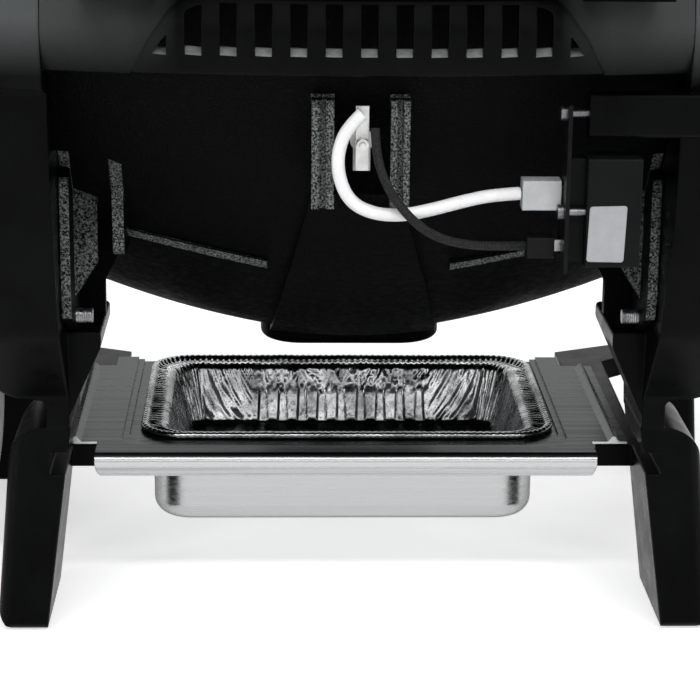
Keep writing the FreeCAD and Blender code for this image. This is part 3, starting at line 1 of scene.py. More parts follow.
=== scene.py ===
# A portable gas grill seen from behind, in a plain pale studio.
import bmesh
import bpy
import json
import math
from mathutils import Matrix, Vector, noise


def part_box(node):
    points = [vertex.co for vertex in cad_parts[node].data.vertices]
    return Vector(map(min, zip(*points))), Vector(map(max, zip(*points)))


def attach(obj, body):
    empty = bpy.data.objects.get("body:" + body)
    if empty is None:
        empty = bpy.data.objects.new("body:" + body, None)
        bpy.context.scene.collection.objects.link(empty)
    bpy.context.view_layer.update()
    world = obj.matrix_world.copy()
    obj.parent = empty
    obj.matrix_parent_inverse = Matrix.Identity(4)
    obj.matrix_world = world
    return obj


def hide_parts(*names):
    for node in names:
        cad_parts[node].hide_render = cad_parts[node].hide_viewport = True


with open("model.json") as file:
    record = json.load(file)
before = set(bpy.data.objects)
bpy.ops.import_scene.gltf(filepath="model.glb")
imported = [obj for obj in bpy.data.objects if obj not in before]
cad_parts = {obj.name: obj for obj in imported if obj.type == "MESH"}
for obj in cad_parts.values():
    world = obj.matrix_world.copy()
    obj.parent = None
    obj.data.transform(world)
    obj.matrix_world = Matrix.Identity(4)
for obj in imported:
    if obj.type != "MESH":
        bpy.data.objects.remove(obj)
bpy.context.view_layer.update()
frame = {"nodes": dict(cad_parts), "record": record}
nodes = frame["nodes"]
scene = bpy.context.scene
scene.view_settings.view_transform = "Standard"


# Camera, at the photograph's place

camera_data = bpy.data.cameras.new("camera")
camera_data.sensor_width = 36.0
camera_data.lens = 115.18
camera_data.clip_start, camera_data.clip_end = 0.05, 50.0
camera = bpy.data.objects.new("camera", camera_data)
scene.collection.objects.link(camera)
camera.location = (0.0345, 1.04473, 0.38303)
camera.rotation_euler = [math.radians(angle) for angle in (74.379, -0.580, 178.234)]
scene.camera = camera


# Leads

WHITE_ROUTE = [
    (1.8, 188.6, 238.2),
    (8.0, 189.4, 232.6),
    (11.5, 190.0, 222.5),
    (10.5, 189.8, 212.0),
    (6.0, 189.6, 203.4),
    (-2.7, 189.6, 199.0),
    (-14.4, 189.3, 198.2),
    (-27.4, 187.0, 200.6),
    (-39.9, 182.5, 203.0),
    (-50.9, 177.5, 204.2),
    (-61.4, 175.4, 204.4),
]
BLACK_ROUTE = [
    (-3.2, 188.6, 232.5),
    (-3.4, 191.2, 222.8),
    (-7.8, 193.8, 210.2),
    (-15.4, 194.8, 199.8),
    (-25.0, 192.6, 191.4),
    (-36.9, 187.6, 186.6),
    (-50.4, 180.4, 184.0),
    (-64.0, 175.8, 183.3),
]


def link(obj):
    scene.collection.objects.link(obj)
    return obj


def lead(name, node, route, radius):
    curve = bpy.data.curves.new(name, "CURVE")
    curve.dimensions = "3D"
    spline = curve.splines.new("NURBS")
    spline.points.add(len(route) - 1)
    for point, spot in zip(spline.points, route):
        point.co = (*[value / 1000 for value in spot], 1.0)
        point.radius = radius
    spline.order_u = 3
    spline.use_endpoint_u = True
    spline.resolution_u = 24
    curve.bevel_depth = 1.0
    curve.bevel_resolution = 8
    curve.use_fill_caps = True
    obj = link(bpy.data.objects.new(name, curve))
    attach(obj, "frame")
    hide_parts(node)
    return obj


white_lead = lead("spark_lead", "white_lead", WHITE_ROUTE, 0.0026)
black_lead = lead("ground_lead", "black_lead", BLACK_ROUTE, 0.0018)


# Materials


class Finish:
    """A procedural material whose colour, roughness and bump vary over the surface."""

    def __init__(self, name, metallic=0.0, specular=0.5, anisotropic=0.0):
        self.material = bpy.data.materials.new(name)
        self.material.use_nodes = True
        self.tree = self.material.node_tree
        self.shader = self.tree.nodes["Principled BSDF"]
        self.shader.inputs["Metallic"].default_value = metallic
        self.shader.inputs["Specular IOR Level"].default_value = specular
        self.shader.inputs["Anisotropic"].default_value = anisotropic
        self.place = self.add("ShaderNodeTexCoord").outputs["Object"]
        self.normal = None

    def add(self, kind, **settings):
        node = self.tree.nodes.new(kind)
        for key, value in settings.items():
            setattr(node, key, value)
        return node

    def join(self, source, target):
        self.tree.links.new(source, target)

    def noise(self, scale, detail=4.0, roughness=0.55, stretch=None):
        """Noise in steps per metre, stretched along an axis if asked."""
        node = self.add("ShaderNodeTexNoise")
        node.inputs["Scale"].default_value = scale
        node.inputs["Detail"].default_value = detail
        node.inputs["Roughness"].default_value = roughness
        place = self.place
        if stretch:
            mapping = self.add("ShaderNodeMapping")
            mapping.inputs["Scale"].default_value = stretch
            self.join(place, mapping.inputs["Vector"])
            place = mapping.outputs["Vector"]
        self.join(place, node.inputs["Vector"])
        return node.outputs["Fac"]

    def cells(self, scale):
        node = self.add("ShaderNodeTexVoronoi")
        node.inputs["Scale"].default_value = scale
        self.join(self.place, node.inputs["Vector"])
        return node.outputs["Distance"]

    def ramp(self, value, low, high, span=(0.35, 0.65)):
        node = self.add("ShaderNodeMapRange")
        node.inputs["From Min"].default_value = span[0]
        node.inputs["From Max"].default_value = span[1]
        node.inputs["To Min"].default_value = low
        node.inputs["To Max"].default_value = high
        self.join(value, node.inputs["Value"])
        return node.outputs["Result"]

    def colour(self, first, second, value, span=(0.35, 0.65)):
        """Base colour between two colours by a value."""
        node = self.add("ShaderNodeValToRGB")
        node.color_ramp.elements[0].position = span[0]
        node.color_ramp.elements[1].position = span[1]
        node.color_ramp.elements[0].color = (*first, 1.0)
        node.color_ramp.elements[1].color = (*second, 1.0)
        self.join(value, node.inputs["Fac"])
        self.join(node.outputs["Color"], self.shader.inputs["Base Color"])
        return self

    def rough(self, low, high, value):
        self.join(self.ramp(value, low, high), self.shader.inputs["Roughness"])
        return self

    def round_edges(self, radius):
        node = self.add("ShaderNodeBevel", samples=4)
        node.inputs["Radius"].default_value = radius
        self.normal = node.outputs["Normal"]
        return self

    def bump(self, value, height, strength):
        """Adds relief of a height in metres."""
        node = self.add("ShaderNodeBump")
        node.inputs["Strength"].default_value = strength
        node.inputs["Distance"].default_value = height
        self.join(value, node.inputs["Height"])
        if self.normal:
            self.join(self.normal, node.inputs["Normal"])
        self.normal = node.outputs["Normal"]
        return self

    def math(self, kind, first, second):
        node = self.add("ShaderNodeMath", operation=kind)
        for socket, value in zip(node.inputs, (first, second)):
            if isinstance(value, float):
                socket.default_value = value
            else:
                self.join(value, socket)
        return node.outputs[0]

    def between(self, value, low, high):
        """1 where a value lies between two limits, and 0 elsewhere."""
        above = self.math("GREATER_THAN", value, low)
        return self.math("MULTIPLY", above, self.math("LESS_THAN", value, high))

    def axes(self, vector):
        node = self.add("ShaderNodeSeparateXYZ")
        self.join(vector, node.inputs[0])
        return node.outputs

    def facing(self):
        """The parts of the surface's own direction along X, Y and Z."""
        return self.axes(self.add("ShaderNodeTexCoord").outputs["Normal"])

    def done(self):
        if self.normal:
            self.join(self.normal, self.shader.inputs["Normal"])
        return self.material


def grained_plastic(name, dark, light, rough, specular=0.14, grain=1600.0, edge=0.0016):
    look = Finish(name, specular=specular)
    look.colour(dark, light, look.noise(45.0))
    look.rough(*rough, look.noise(90.0, 3.0))
    look.round_edges(edge)
    look.bump(look.noise(grain, 2.0), 0.00012, 0.35)
    look.bump(look.noise(60.0, 2.0), 0.0004, 0.12)
    return look.done()


def rough_casting(name, dark, light, rough, specular, height):
    look = Finish(name, specular=specular)
    look.colour(dark, light, look.noise(700.0, 6.0, 0.7), (0.4, 0.7))
    look.rough(*rough, look.noise(300.0, 4.0))
    look.round_edges(0.0011)
    look.bump(look.noise(650.0, 5.0, 0.65), height, 0.9)
    look.bump(look.cells(900.0), height * 0.5, 0.5)
    return look.done()


def panel_look(sill_low, sill_high, fade_low, fade_high):
    """Black moulded panel: a painted highlight on the upward faces of its slot sills, and a painted
    highlight on its ends towards their top edge.
    """
    look = Finish("black_panel", specular=0.04)
    place = look.axes(look.place)
    # Painted highlight on the upward faces of the slot sills
    upward = look.ramp(look.facing()[2], 0.0, 1.0, (0.55, 0.75))
    sill = look.math("MULTIPLY", upward, look.between(place[2], sill_low, sill_high))
    pale = look.math("MULTIPLY", sill, look.ramp(look.noise(240.0, 3.0), 0.7, 1.0))
    outside = look.ramp(look.math("ABSOLUTE", place[0], 0.0), 0.0, 1.0, (0.072, 0.092))
    # Painted highlight towards the top edge, outside the vent recess
    painted_top_highlight = look.math("MULTIPLY", look.ramp(place[2], 0.0, 0.20, (fade_low, fade_high)), outside)
    # Random speckled tone, which here also carries the painted highlight towards the top
    speck = look.math("MAXIMUM", look.ramp(look.noise(45.0), 0.0, 0.006), painted_top_highlight)
    look.colour((0.0010, 0.0011, 0.0012), (0.26, 0.27, 0.27), look.math("MAXIMUM", pale, speck), (0.0, 1.0))
    look.rough(0.24, 0.32, look.noise(90.0, 3.0))
    look.round_edges(0.0012)
    look.bump(look.noise(1600.0, 2.0), 0.00012, 0.35)
    look.bump(look.noise(60.0, 2.0), 0.0004, 0.12)
    return look.done()


def frame_look(fade_low, fade_high):
    """Black moulded frame with a painted highlight towards its top edge, between two heights."""
    look = Finish("black_nylon", specular=0.04)
    height = look.ramp(look.axes(look.place)[2], 0.0, 0.30, (fade_low, fade_high))
    # Painted highlight towards the top edge
    painted_top_highlight = look.math("MULTIPLY", height, look.ramp(look.noise(30.0, 3.0), 0.85, 1.0))
    speck = look.ramp(look.noise(45.0), 0.0, 0.006)
    pale = look.math("MAXIMUM", painted_top_highlight, speck)
    look.colour((0.0010, 0.0011, 0.0012), (0.27, 0.29, 0.29), pale, (0.0, 1.0))
    look.rough(0.26, 0.34, look.noise(90.0, 3.0))
    look.round_edges(0.0016)
    look.bump(look.noise(1600.0, 2.0), 0.00012, 0.35)
    look.bump(look.noise(60.0, 2.0), 0.0004, 0.12)
    return look.done()


def tray_look():
    """Rolled steel sheet, with painted shade on the faces that look up, standing for the dark bowl they
    mirror, and paler upright faces.
    """
    look = Finish("tray_steel", metallic=1.0, anisotropic=0.5)
    look.shader.inputs["Specular Tint"].default_value = (0.45, 0.45, 0.45, 1.0)
    grain = look.noise(1.0, 5.0, 0.6, (3.0, 420.0, 420.0))
    # Painted shade on faces that look up, and paler upright faces
    upright = look.ramp(look.facing()[2], 0.90, 0.34, (0.10, 0.75))
    look.colour((0.075, 0.076, 0.078), (0.50, 0.505, 0.51), upright, (0.10, 0.95))
    look.rough(0.20, 0.32, grain)
    look.round_edges(0.0005)
    look.bump(grain, 0.00008, 0.5)
    look.bump(look.noise(30.0, 2.0), 0.0003, 0.15)
    return look.done()


# Cast faces whose rough grain carries painted glints: lowest and highest corner of each region, and how
# bright
GLINT_REGIONS = (
    ((0.1198, 0.110, 0.131), (0.1242, 0.1445, 0.214), 1.0),
    ((0.1098, 0.1215, 0.146), (0.1198, 0.1245, 0.204), 0.7),
    ((0.0982, 0.127, 0.165), (0.1034, 0.1445, 0.213), 0.9),
    ((-0.1242, 0.110, 0.131), (-0.1198, 0.1445, 0.214), 1.0),
    ((-0.1198, 0.1215, 0.146), (-0.1098, 0.1245, 0.204), 0.7),
    ((-0.1034, 0.127, 0.165), (-0.0982, 0.1445, 0.213), 0.9),
    ((-0.0172, 0.178, 0.199), (-0.0093, 0.190, 0.2445), 0.9),
    ((0.0125, 0.178, 0.199), (0.0216, 0.190, 0.2445), 0.9),
)
# Each ridge: its two ends in X and Z along the middle line, and half its height
RIDGES = (
    (0.0390, 0.1599, 0.0986, 0.1741, 0.0024),
    (-0.0715, 0.1651, -0.0395, 0.1588, 0.0022),
)
RIDGES_FROM_Y = 0.09  # The ridges stand on the bowl's rear wall only


def cook_box_look():
    """Black baked casting, with painted glints on the rough grain of its lugs, its bracket and its two
    ridges, on faces that look along +Y.
    """
    look = Finish("black_casting", specular=0.03)
    place = look.axes(look.place)
    masks = []
    for low, high, share in GLINT_REGIONS:
        mask = look.between(place[0], low[0], high[0])
        mask = look.math("MULTIPLY", mask, look.between(place[1], low[1], high[1]))
        mask = look.math("MULTIPLY", mask, look.between(place[2], low[2], high[2]))
        masks.append(look.math("MULTIPLY", mask, share))
    for first_x, first_z, last_x, last_z, half in RIDGES:
        slope = (last_z - first_z) / (last_x - first_x)
        line = look.math("MULTIPLY", place[0], slope)
        offset = look.math("SUBTRACT", look.math("SUBTRACT", place[2], line), first_z - slope * first_x)
        level = look.between(offset, -half, half)
        mask = look.math("MULTIPLY", level, look.between(place[0], first_x, last_x))
        masks.append(look.math("MULTIPLY", mask, look.math("GREATER_THAN", place[1], RIDGES_FROM_Y)))
    total = masks[0]
    for mask in masks[1:]:
        total = look.math("MAXIMUM", total, mask)
    # Painted glints only on faces that look along +Y
    total = look.math("MULTIPLY", total, look.math("GREATER_THAN", look.facing()[1], 0.45))
    grain = look.noise(1150.0, 4.0, 0.7)
    painted_glints = look.ramp(grain, 0.0, 1.0, (0.43, 0.64))
    amount = look.math("MULTIPLY", total, painted_glints)
    fine = look.ramp(look.noise(1900.0, 3.0), 0.0, 0.07, (0.55, 0.80))
    bright = look.math("MAXIMUM", amount, fine)
    look.colour((0.0006, 0.0006, 0.0007), (0.33, 0.345, 0.345), bright, (0.0, 1.0))
    look.rough(0.34, 0.50, look.noise(300.0, 4.0))
    look.round_edges(0.0009)
    look.bump(look.noise(650.0, 5.0, 0.65), 0.00035, 0.8)
    look.bump(grain, 0.0006, 0.9)
    return look.done()


def brushed(name, dark, light, along):
    look = Finish(name, metallic=1.0, anisotropic=0.5)
    streaks = look.noise(1.0, 6.0, 0.7, along)
    look.colour(dark, light, streaks, (0.3, 0.7))
    look.rough(0.24, 0.42, streaks)
    look.round_edges(0.0005)
    look.bump(streaks, 0.00003, 0.6)
    return look.done()


def plain_metal(name, dark, light, rough=(0.25, 0.42)):
    look = Finish(name, metallic=1.0)
    look.colour(dark, light, look.noise(180.0, 5.0))
    look.rough(*rough, look.noise(360.0, 4.0))
    look.round_edges(0.0004)
    look.bump(look.noise(1080.0, 2.0), 0.00004, 0.4)
    return look.done()


def gloss(name, dark, light, rough=(0.14, 0.26), specular=0.5):
    look = Finish(name, specular=specular)
    look.colour(dark, light, look.noise(120.0, 3.0))
    look.rough(*rough, look.noise(200.0, 3.0))
    look.round_edges(0.0005)
    look.bump(look.noise(500.0, 2.0), 0.00003, 0.3)
    return look.done()


def foil_look():
    look = Finish("bright_foil", metallic=1.0)
    look.colour((0.12, 0.123, 0.125), (0.36, 0.365, 0.37), look.noise(60.0, 5.0))
    look.rough(0.10, 0.24, look.noise(110.0, 4.0))
    look.bump(look.noise(420.0, 3.0, 0.6, (1.0, 1.0, 0.35)), 0.0005, 0.5)
    look.bump(look.noise(1200.0, 2.0), 0.00006, 0.4)
    return look.done()


def woven_sleeve():
    look = Finish("black_woven_sleeve", specular=0.1)
    look.colour((0.005, 0.005, 0.0055), (0.030, 0.030, 0.031), look.cells(1500.0), (0.2, 0.8))
    look.rough(0.45, 0.65, look.noise(800.0))
    look.bump(look.cells(1500.0), 0.0002, 0.7)
    return look.done()


def lens_look():
    look = Finish("clear_glass")
    look.shader.inputs["Transmission Weight"].default_value = 1.0
    look.shader.inputs["IOR"].default_value = 1.45
    look.colour((0.96, 0.98, 0.98), (1.0, 1.0, 1.0), look.noise(60.0))
    look.rough(0.0, 0.03, look.noise(300.0))
    return look.done()


LOOKS = {
    "frame_nylon": frame_look(0.251, 0.274),
    "bolt_steel": plain_metal("bolt_steel", (0.16, 0.16, 0.165), (0.42, 0.42, 0.43)),
    "panel_nylon": panel_look(0.2605, 0.2700, 0.253, 0.272),
    "table_nylon": grained_plastic(
        "grey_table", (0.055, 0.057, 0.060), (0.075, 0.077, 0.080), (0.42, 0.56), specular=0.3, grain=900.0
    ),
    "cook_box_casting": cook_box_look(),
    "lid_casting": rough_casting(
        "graphite_casting", (0.045, 0.045, 0.048), (0.075, 0.075, 0.078), (0.38, 0.5), 0.4, 0.00012
    ),
    "handle_nylon": grained_plastic("handle", (0.016, 0.016, 0.018), (0.024, 0.024, 0.026), (0.36, 0.48)),
    "grate_iron": rough_casting(
        "black_iron", (0.010, 0.010, 0.010), (0.030, 0.029, 0.028), (0.45, 0.65), 0.4, 0.0003
    ),
    "burner_steel": brushed("burner_steel", (0.38, 0.36, 0.33), (0.55, 0.53, 0.50), (160.0, 160.0, 20.0)),
    "fastener_steel": plain_metal("dark_zinc", (0.10, 0.10, 0.105), (0.20, 0.20, 0.21)),
    "pin_steel": plain_metal("ground_steel", (0.50, 0.50, 0.51), (0.62, 0.62, 0.63)),
    "bezel_chrome": plain_metal("bezel", (0.62, 0.62, 0.63), (0.74, 0.74, 0.75), (0.10, 0.2)),
    "dial_face": gloss("dial_white", (0.74, 0.74, 0.72), (0.80, 0.80, 0.78), (0.35, 0.5)),
    "dial_glass": lens_look(),
    "needle_red": gloss("needle_paint", (0.45, 0.02, 0.015), (0.55, 0.03, 0.02)),
    "probe_steel": plain_metal("probe_steel", (0.45, 0.45, 0.45), (0.6, 0.6, 0.6)),
    "tray_steel": tray_look(),
    "foil": foil_look(),
    "module_plastic": grained_plastic(
        "module_case", (0.0045, 0.0052, 0.0050), (0.0070, 0.0080, 0.0078), (0.34, 0.46),
        specular=0.06, grain=1400.0, edge=0.0005,
    ),
    "label_paper": gloss("bare_label", (0.36, 0.37, 0.385), (0.42, 0.43, 0.44), (0.4, 0.55)),
    "bracket_paint": gloss(
        "black_powder", (0.003, 0.003, 0.0033), (0.0055, 0.0055, 0.006), (0.3, 0.45), specular=0.08
    ),
    "terminal_tin": plain_metal("tin", (0.45, 0.45, 0.45), (0.62, 0.62, 0.62)),
    "white_nylon": gloss("white_connector_nylon", (0.46, 0.48, 0.49), (0.54, 0.55, 0.56), (0.25, 0.4)),
    "black_nylon": gloss(
        "black_connector_nylon", (0.004, 0.004, 0.004), (0.008, 0.008, 0.008), (0.3, 0.45), specular=0.08
    ),
    "white_sleeve": gloss("white_silicone", (0.93, 0.93, 0.94), (0.97, 0.97, 0.98), (0.2, 0.34)),
    "black_sleeve": woven_sleeve(),
    "insulator_ceramic": gloss("ceramic", (0.70, 0.69, 0.66), (0.80, 0.79, 0.76), (0.3, 0.5)),
    "valve_brass": plain_metal("valve_brass", (0.52, 0.38, 0.16), (0.66, 0.50, 0.24)),
    "tube_steel": plain_metal("gas_tube_steel", (0.34, 0.34, 0.35), (0.46, 0.46, 0.47)),
    "regulator_zinc": plain_metal("zinc_casting", (0.28, 0.28, 0.29), (0.40, 0.40, 0.41), (0.35, 0.5)),
    "cylinder_paint": gloss(
        "cylinder_enamel", (0.003, 0.0033, 0.0036), (0.006, 0.0062, 0.0066), (0.25, 0.35), specular=0.08
    ),
    "knob_plastic": grained_plastic("knob", (0.014, 0.014, 0.015), (0.022, 0.022, 0.024), (0.35, 0.5)),
    "button_red": gloss("red_button", (0.42, 0.015, 0.012), (0.50, 0.025, 0.018), (0.2, 0.3)),
    "battery_wrap": gloss("battery_wrap", (0.35, 0.35, 0.36), (0.42, 0.42, 0.43)),
}


def dress(obj, look):
    obj.data.materials.clear()
    obj.data.materials.append(look)


slots = {item["node"]: item["material_slot"] for item in frame["record"]["subparts"]}
for name, obj in nodes.items():
    if obj.type == "MESH":
        for index in range(max(1, len(obj.material_slots))):
            if not obj.material_slots:
                obj.data.materials.append(LOOKS[slots[name]])
            obj.material_slots[index].material = LOOKS[slots[name]]
# The frame bolts are paler than the other fasteners
dress(nodes["frame_bolts"], LOOKS["bolt_steel"])
dress(white_lead, LOOKS["white_sleeve"])
dress(black_lead, LOOKS["black_sleeve"])


def mesh_object(name, mesh):
    """Makes a linked object of a mesh under construction, and frees it."""
    data = bpy.data.meshes.new(name)
    mesh.to_mesh(data)
    mesh.free()
    return link(bpy.data.objects.new(name, data))


# Foil pan

FOIL_HALF_X, FOIL_HALF_Y = 0.096, 0.067
FOIL_RIM = 0.0694  # Height of the rim above the ground
FOIL_SHIFT = Vector((0.002, 0.003, 0.0))
FOIL_CORNER = 0.020
FOIL_DEPTH = 0.0290
FOIL_SHEET = 0.00025
FLUTE_PITCH, FLUTE_COUNT = 0.00995, 9
CRIMP_PITCH = 0.0030
RING_COUNTS = (250, 152, 44)  # Points on each long side, each short side and each corner


def rounded_ring(half_x, half_y, corner, counts):
    """Points and outward directions round a rounded rectangle, with the same count for every ring."""
    along_x, along_y, around = counts
    points = []
    for quarter in range(4):
        angle = quarter * math.pi / 2
        sx = 1 if quarter in (0, 3) else -1
        sy = 1 if quarter in (0, 1) else -1
        centre = Vector((sx * (half_x - corner), sy * (half_y - corner), 0))
        for i in range(around):
            turn = angle + math.pi / 2 * i / around
            out = Vector((math.cos(turn), math.sin(turn), 0))
            points.append((centre + out * corner, out))
        out = Vector((math.cos(angle + math.pi / 2), math.sin(angle + math.pi / 2), 0))
        level = quarter % 2 == 0
        steps = along_x if level else along_y
        length = 2 * ((half_x if level else half_y) - corner)
        start = centre + out * corner
        walk = Vector((-out.y, out.x, 0))
        for i in range(steps):
            points.append((start + walk * (length * i / steps), out))
    return points


def smooth(value, low, high):
    share = min(max((value - low) / (high - low), 0.0), 1.0)
    return share * share * (3 - 2 * share)


def ridges(spot):
    """Creases that run sharp along their crests."""
    return 1 - 2 * abs(noise.noise(spot))


def flute(across, depth):
    """Height of the wide flutes on the long walls and the floor."""
    nearest = abs((across / FLUTE_PITCH + 0.5) % 1.0 - 0.5) * FLUTE_PITCH
    half = 0.0010 + 0.0013 * min(depth / FOIL_DEPTH, 1.0)
    inside = 1 - smooth(abs(across), FLUTE_PITCH * FLUTE_COUNT / 2 - 0.001, FLUTE_PITCH * FLUTE_COUNT / 2)
    return inside * (1 - smooth(nearest, half - 0.0003, half + 0.0005))


def foil_relief(spot, out, travel, depth):
    """How far the wall stands inward at a place on it."""
    straight = smooth(abs(out.y), 0.97, 0.999)
    middle = straight * (1 - smooth(abs(spot.x), 0.040, 0.050))
    lower = smooth(depth, 0.0105, 0.0150)
    lean = depth * 0.55 * (1 - smooth(abs(spot.x), 0.045, 0.085))
    slant = (abs(spot.x) + lean) * math.copysign(1, spot.x * out.y)
    along = travel if straight < 0.5 else slant
    pleats = ridges(Vector((along * 400, out.y * 3 + depth * 34, out.x * 3)))
    fine = ridges(Vector((along * 620, depth * 90, out.y * 5 + out.x * 7)))
    crumple = ridges(spot * 330 + Vector((0, 0, depth * 300)))
    relief = (1 - middle) * (0.00075 * pleats + 0.00045 * fine)
    relief += middle * (1 - lower) * (0.0007 * crumple + 0.0005 * fine)
    relief += middle * lower * (0.0013 * flute(spot.x, depth) + 0.00012 * crumple)
    return relief * smooth(depth, 0.0004, 0.0030)


def foil_pan():
    # How far in from the outer edge, how far below the rim, share of rim crimp, share of wall relief
    profile = []
    for step in range(9):
        turn = math.radians(-150 + step * 37.5)
        profile.append((0.0017 - 0.0014 * math.cos(turn), 0.0001 - 0.0013 * math.sin(turn), 0.4, 0.0))
    profile += [(0.0040, 0.0007, 1.0, 0.0), (0.0052, 0.0009, 1.0, 0.0), (0.0066, 0.0009, 1.0, 0.0)]
    profile += [(0.0080, 0.0007, 0.8, 0.0), (0.0092, 0.0007, 0.4, 0.1), (0.0102, 0.0012, 0.2, 0.3)]
    for step in range(19):
        depth = 0.0020 + 0.0255 * step / 18
        profile.append((0.0108 + 0.31 * depth, depth, 0.0, 1.0))
    profile += [(0.0200, 0.0283, 0.0, 0.7), (0.0210, 0.0288, 0.0, 0.5), (0.0226, 0.0290, 0.0, 0.3)]
    profile += [(inset / 1000, 0.0290, 0.0, 0.0) for inset in (25, 28, 32, 36, 41, 46, 51, 56, 61)]
    mesh = bmesh.new()
    outline = rounded_ring(FOIL_HALF_X, FOIL_HALF_Y, FOIL_CORNER, RING_COUNTS)
    walked, last, total = [], outline[0][0], 0.0
    for spot, _ in outline:
        total += (spot - last).length
        walked.append(total)
        last = spot
    rings = []
    for inset, depth, crimp, relief in profile:
        corner = max(FOIL_CORNER - inset * 0.62, 0.0045)
        corner = min(corner, FOIL_HALF_Y - inset - 0.001)
        ring = []
        level = rounded_ring(FOIL_HALF_X - inset, FOIL_HALF_Y - inset, corner, RING_COUNTS)
        for travel, (spot, out) in zip(walked, level):
            tick = math.sin(travel * 2 * math.pi / CRIMP_PITCH)
            inward = relief * foil_relief(spot, out, travel, depth) + crimp * 0.00012 * tick
            lift = crimp * (0.00042 * tick + 0.0004 * noise.noise(spot * 120))
            if depth > 0.0285:
                floor_share = smooth(inset, 0.021, 0.026)
                lift += floor_share * (0.0009 * flute(spot.x, FOIL_DEPTH) + 0.0005 * noise.noise(spot * 140))
            place = spot - out * inward + Vector((0, 0, FOIL_RIM - depth + lift)) + FOIL_SHIFT
            ring.append(mesh.verts.new(place))
        rings.append(ring)
    for first, second in zip(rings, rings[1:]):
        for i in range(len(first)):
            j = (i + 1) % len(first)
            mesh.faces.new((first[i], first[j], second[j], second[i]))
    mesh.faces.new(rings[-1])
    bmesh.ops.recalc_face_normals(mesh, faces=mesh.faces)
    obj = mesh_object("foil_pan_sheet", mesh)
    for face in obj.data.polygons:
        face.use_smooth = True
    thick = obj.modifiers.new("sheet", "SOLIDIFY")
    thick.thickness = FOIL_SHEET
    thick.offset = 0.0
    dress(obj, LOOKS["foil"])
    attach(obj, "pan")
    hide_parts("foil_pan")


foil_pan()


# Small parts that ride on the CAD


def strip(name, corners, thickness, body, look):
    """A thin flat piece from a list of corners, standing off its face by its thickness."""
    mesh = bmesh.new()
    face = mesh.faces.new([mesh.verts.new(corner) for corner in corners])
    mesh.normal_update()
    top = bmesh.ops.extrude_face_region(mesh, geom=[face])
    verts = [item for item in top["geom"] if isinstance(item, bmesh.types.BMVert)]
    bmesh.ops.translate(mesh, verts=verts, vec=face.normal * thickness)
    bmesh.ops.recalc_face_normals(mesh, faces=mesh.faces)
    obj = mesh_object(name, mesh)
    soften = obj.modifiers.new("soften", "BEVEL")
    soften.width = thickness * 0.3
    soften.segments = 2
    dress(obj, look)
    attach(obj, body)


TICK_COUNT, TICK_STEP, TICK_FIRST = 26, 10, 125
LONG_TICK_EVERY = 5
TICK_OUTER = 0.0215
LONG_TICK_INNER, LONG_TICK_HALF_WIDTH = 0.0155, 0.0006
SHORT_TICK_INNER, SHORT_TICK_HALF_WIDTH = 0.0180, 0.0003
TICK_CLEARANCE, TICK_HEIGHT = 0.00002, 0.00012


def dial_marks():
    """Plain tick marks round the thermometer's dial."""
    lowest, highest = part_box("thermometer_dial")
    middle = (Vector(lowest) + Vector(highest)) / 2
    base = Vector((middle.x, middle.y, highest[2] + TICK_CLEARANCE))
    mesh = bmesh.new()
    for i in range(TICK_COUNT):
        long_tick = i % LONG_TICK_EVERY == 0
        turn = math.radians(TICK_FIRST - TICK_STEP * i + 90)
        out = Vector((math.cos(turn), math.sin(turn), 0))
        side = Vector((-out.y, out.x, 0)) * (LONG_TICK_HALF_WIDTH if long_tick else SHORT_TICK_HALF_WIDTH)
        near = base + out * (LONG_TICK_INNER if long_tick else SHORT_TICK_INNER)
        far = base + out * TICK_OUTER
        corners = [near - side, far - side, far + side, near + side]
        bottom = [mesh.verts.new(c) for c in corners]
        upper = [mesh.verts.new(c + Vector((0, 0, TICK_HEIGHT))) for c in corners]
        mesh.faces.new(upper)
        for a in range(4):
            b = (a + 1) % 4
            mesh.faces.new((bottom[a], bottom[b], upper[b], upper[a]))
    obj = mesh_object("dial_ticks", mesh)
    dress(obj, LOOKS["knob_plastic"])
    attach(obj, "lid")


dial_marks()


# Bolt threads. X runs from a thread's inner tip to its outer end
THREAD_TIP_X, THREAD_END_X = 0.1129, 0.1192
BOLT_Y, BOLT_Z, BOLT_RADIUS = 0.120, 0.1395, 0.0030
THREAD_PITCH, THREAD_HEIGHT, THREAD_POINTS = 0.00090, 0.00030, 28


def bolt_thread(name, tip, end, across, level, radius):
    """Rings of thread on a bolt's inner end, as one closed turned surface along X."""
    turns = round(abs(end - tip) / THREAD_PITCH)
    way = math.copysign(THREAD_PITCH, end - tip)
    # Place along X and radius. The numbers are the shares of a turn where its two flanks begin and end
    profile = [(tip, 0.0)]
    for turn in range(turns):
        start = tip + way * turn
        profile += [(start + way * 0.08, radius), (start + way * 0.45, radius + THREAD_HEIGHT)]
        profile += [(start + way * 0.60, radius + THREAD_HEIGHT), (start + way * 0.92, radius)]
    profile.append((profile[-1][0] + way * 0.08, 0.0))
    mesh = bmesh.new()
    rings = []
    for along, wide in profile:
        if not wide:
            rings.append([mesh.verts.new((along, across, level))])
            continue
        angles = [2 * math.pi * i / THREAD_POINTS for i in range(THREAD_POINTS)]
        ring = [(along, across + wide * math.cos(a), level + wide * math.sin(a)) for a in angles]
        rings.append([mesh.verts.new(spot) for spot in ring])
    for first, second in zip(rings, rings[1:]):
        for i in range(THREAD_POINTS):
            j = (i + 1) % THREAD_POINTS
            # A ring of one point closes an end, so its repeated corner is dropped
            corners = (first[i % len(first)], first[j % len(first)])
            corners += (second[j % len(second)], second[i % len(second)])
            mesh.faces.new(list(dict.fromkeys(corners)))
    bmesh.ops.recalc_face_normals(mesh, faces=mesh.faces)
    obj = mesh_object(name, mesh)
    dress(obj, LOOKS["bolt_steel"])
    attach(obj, "frame")


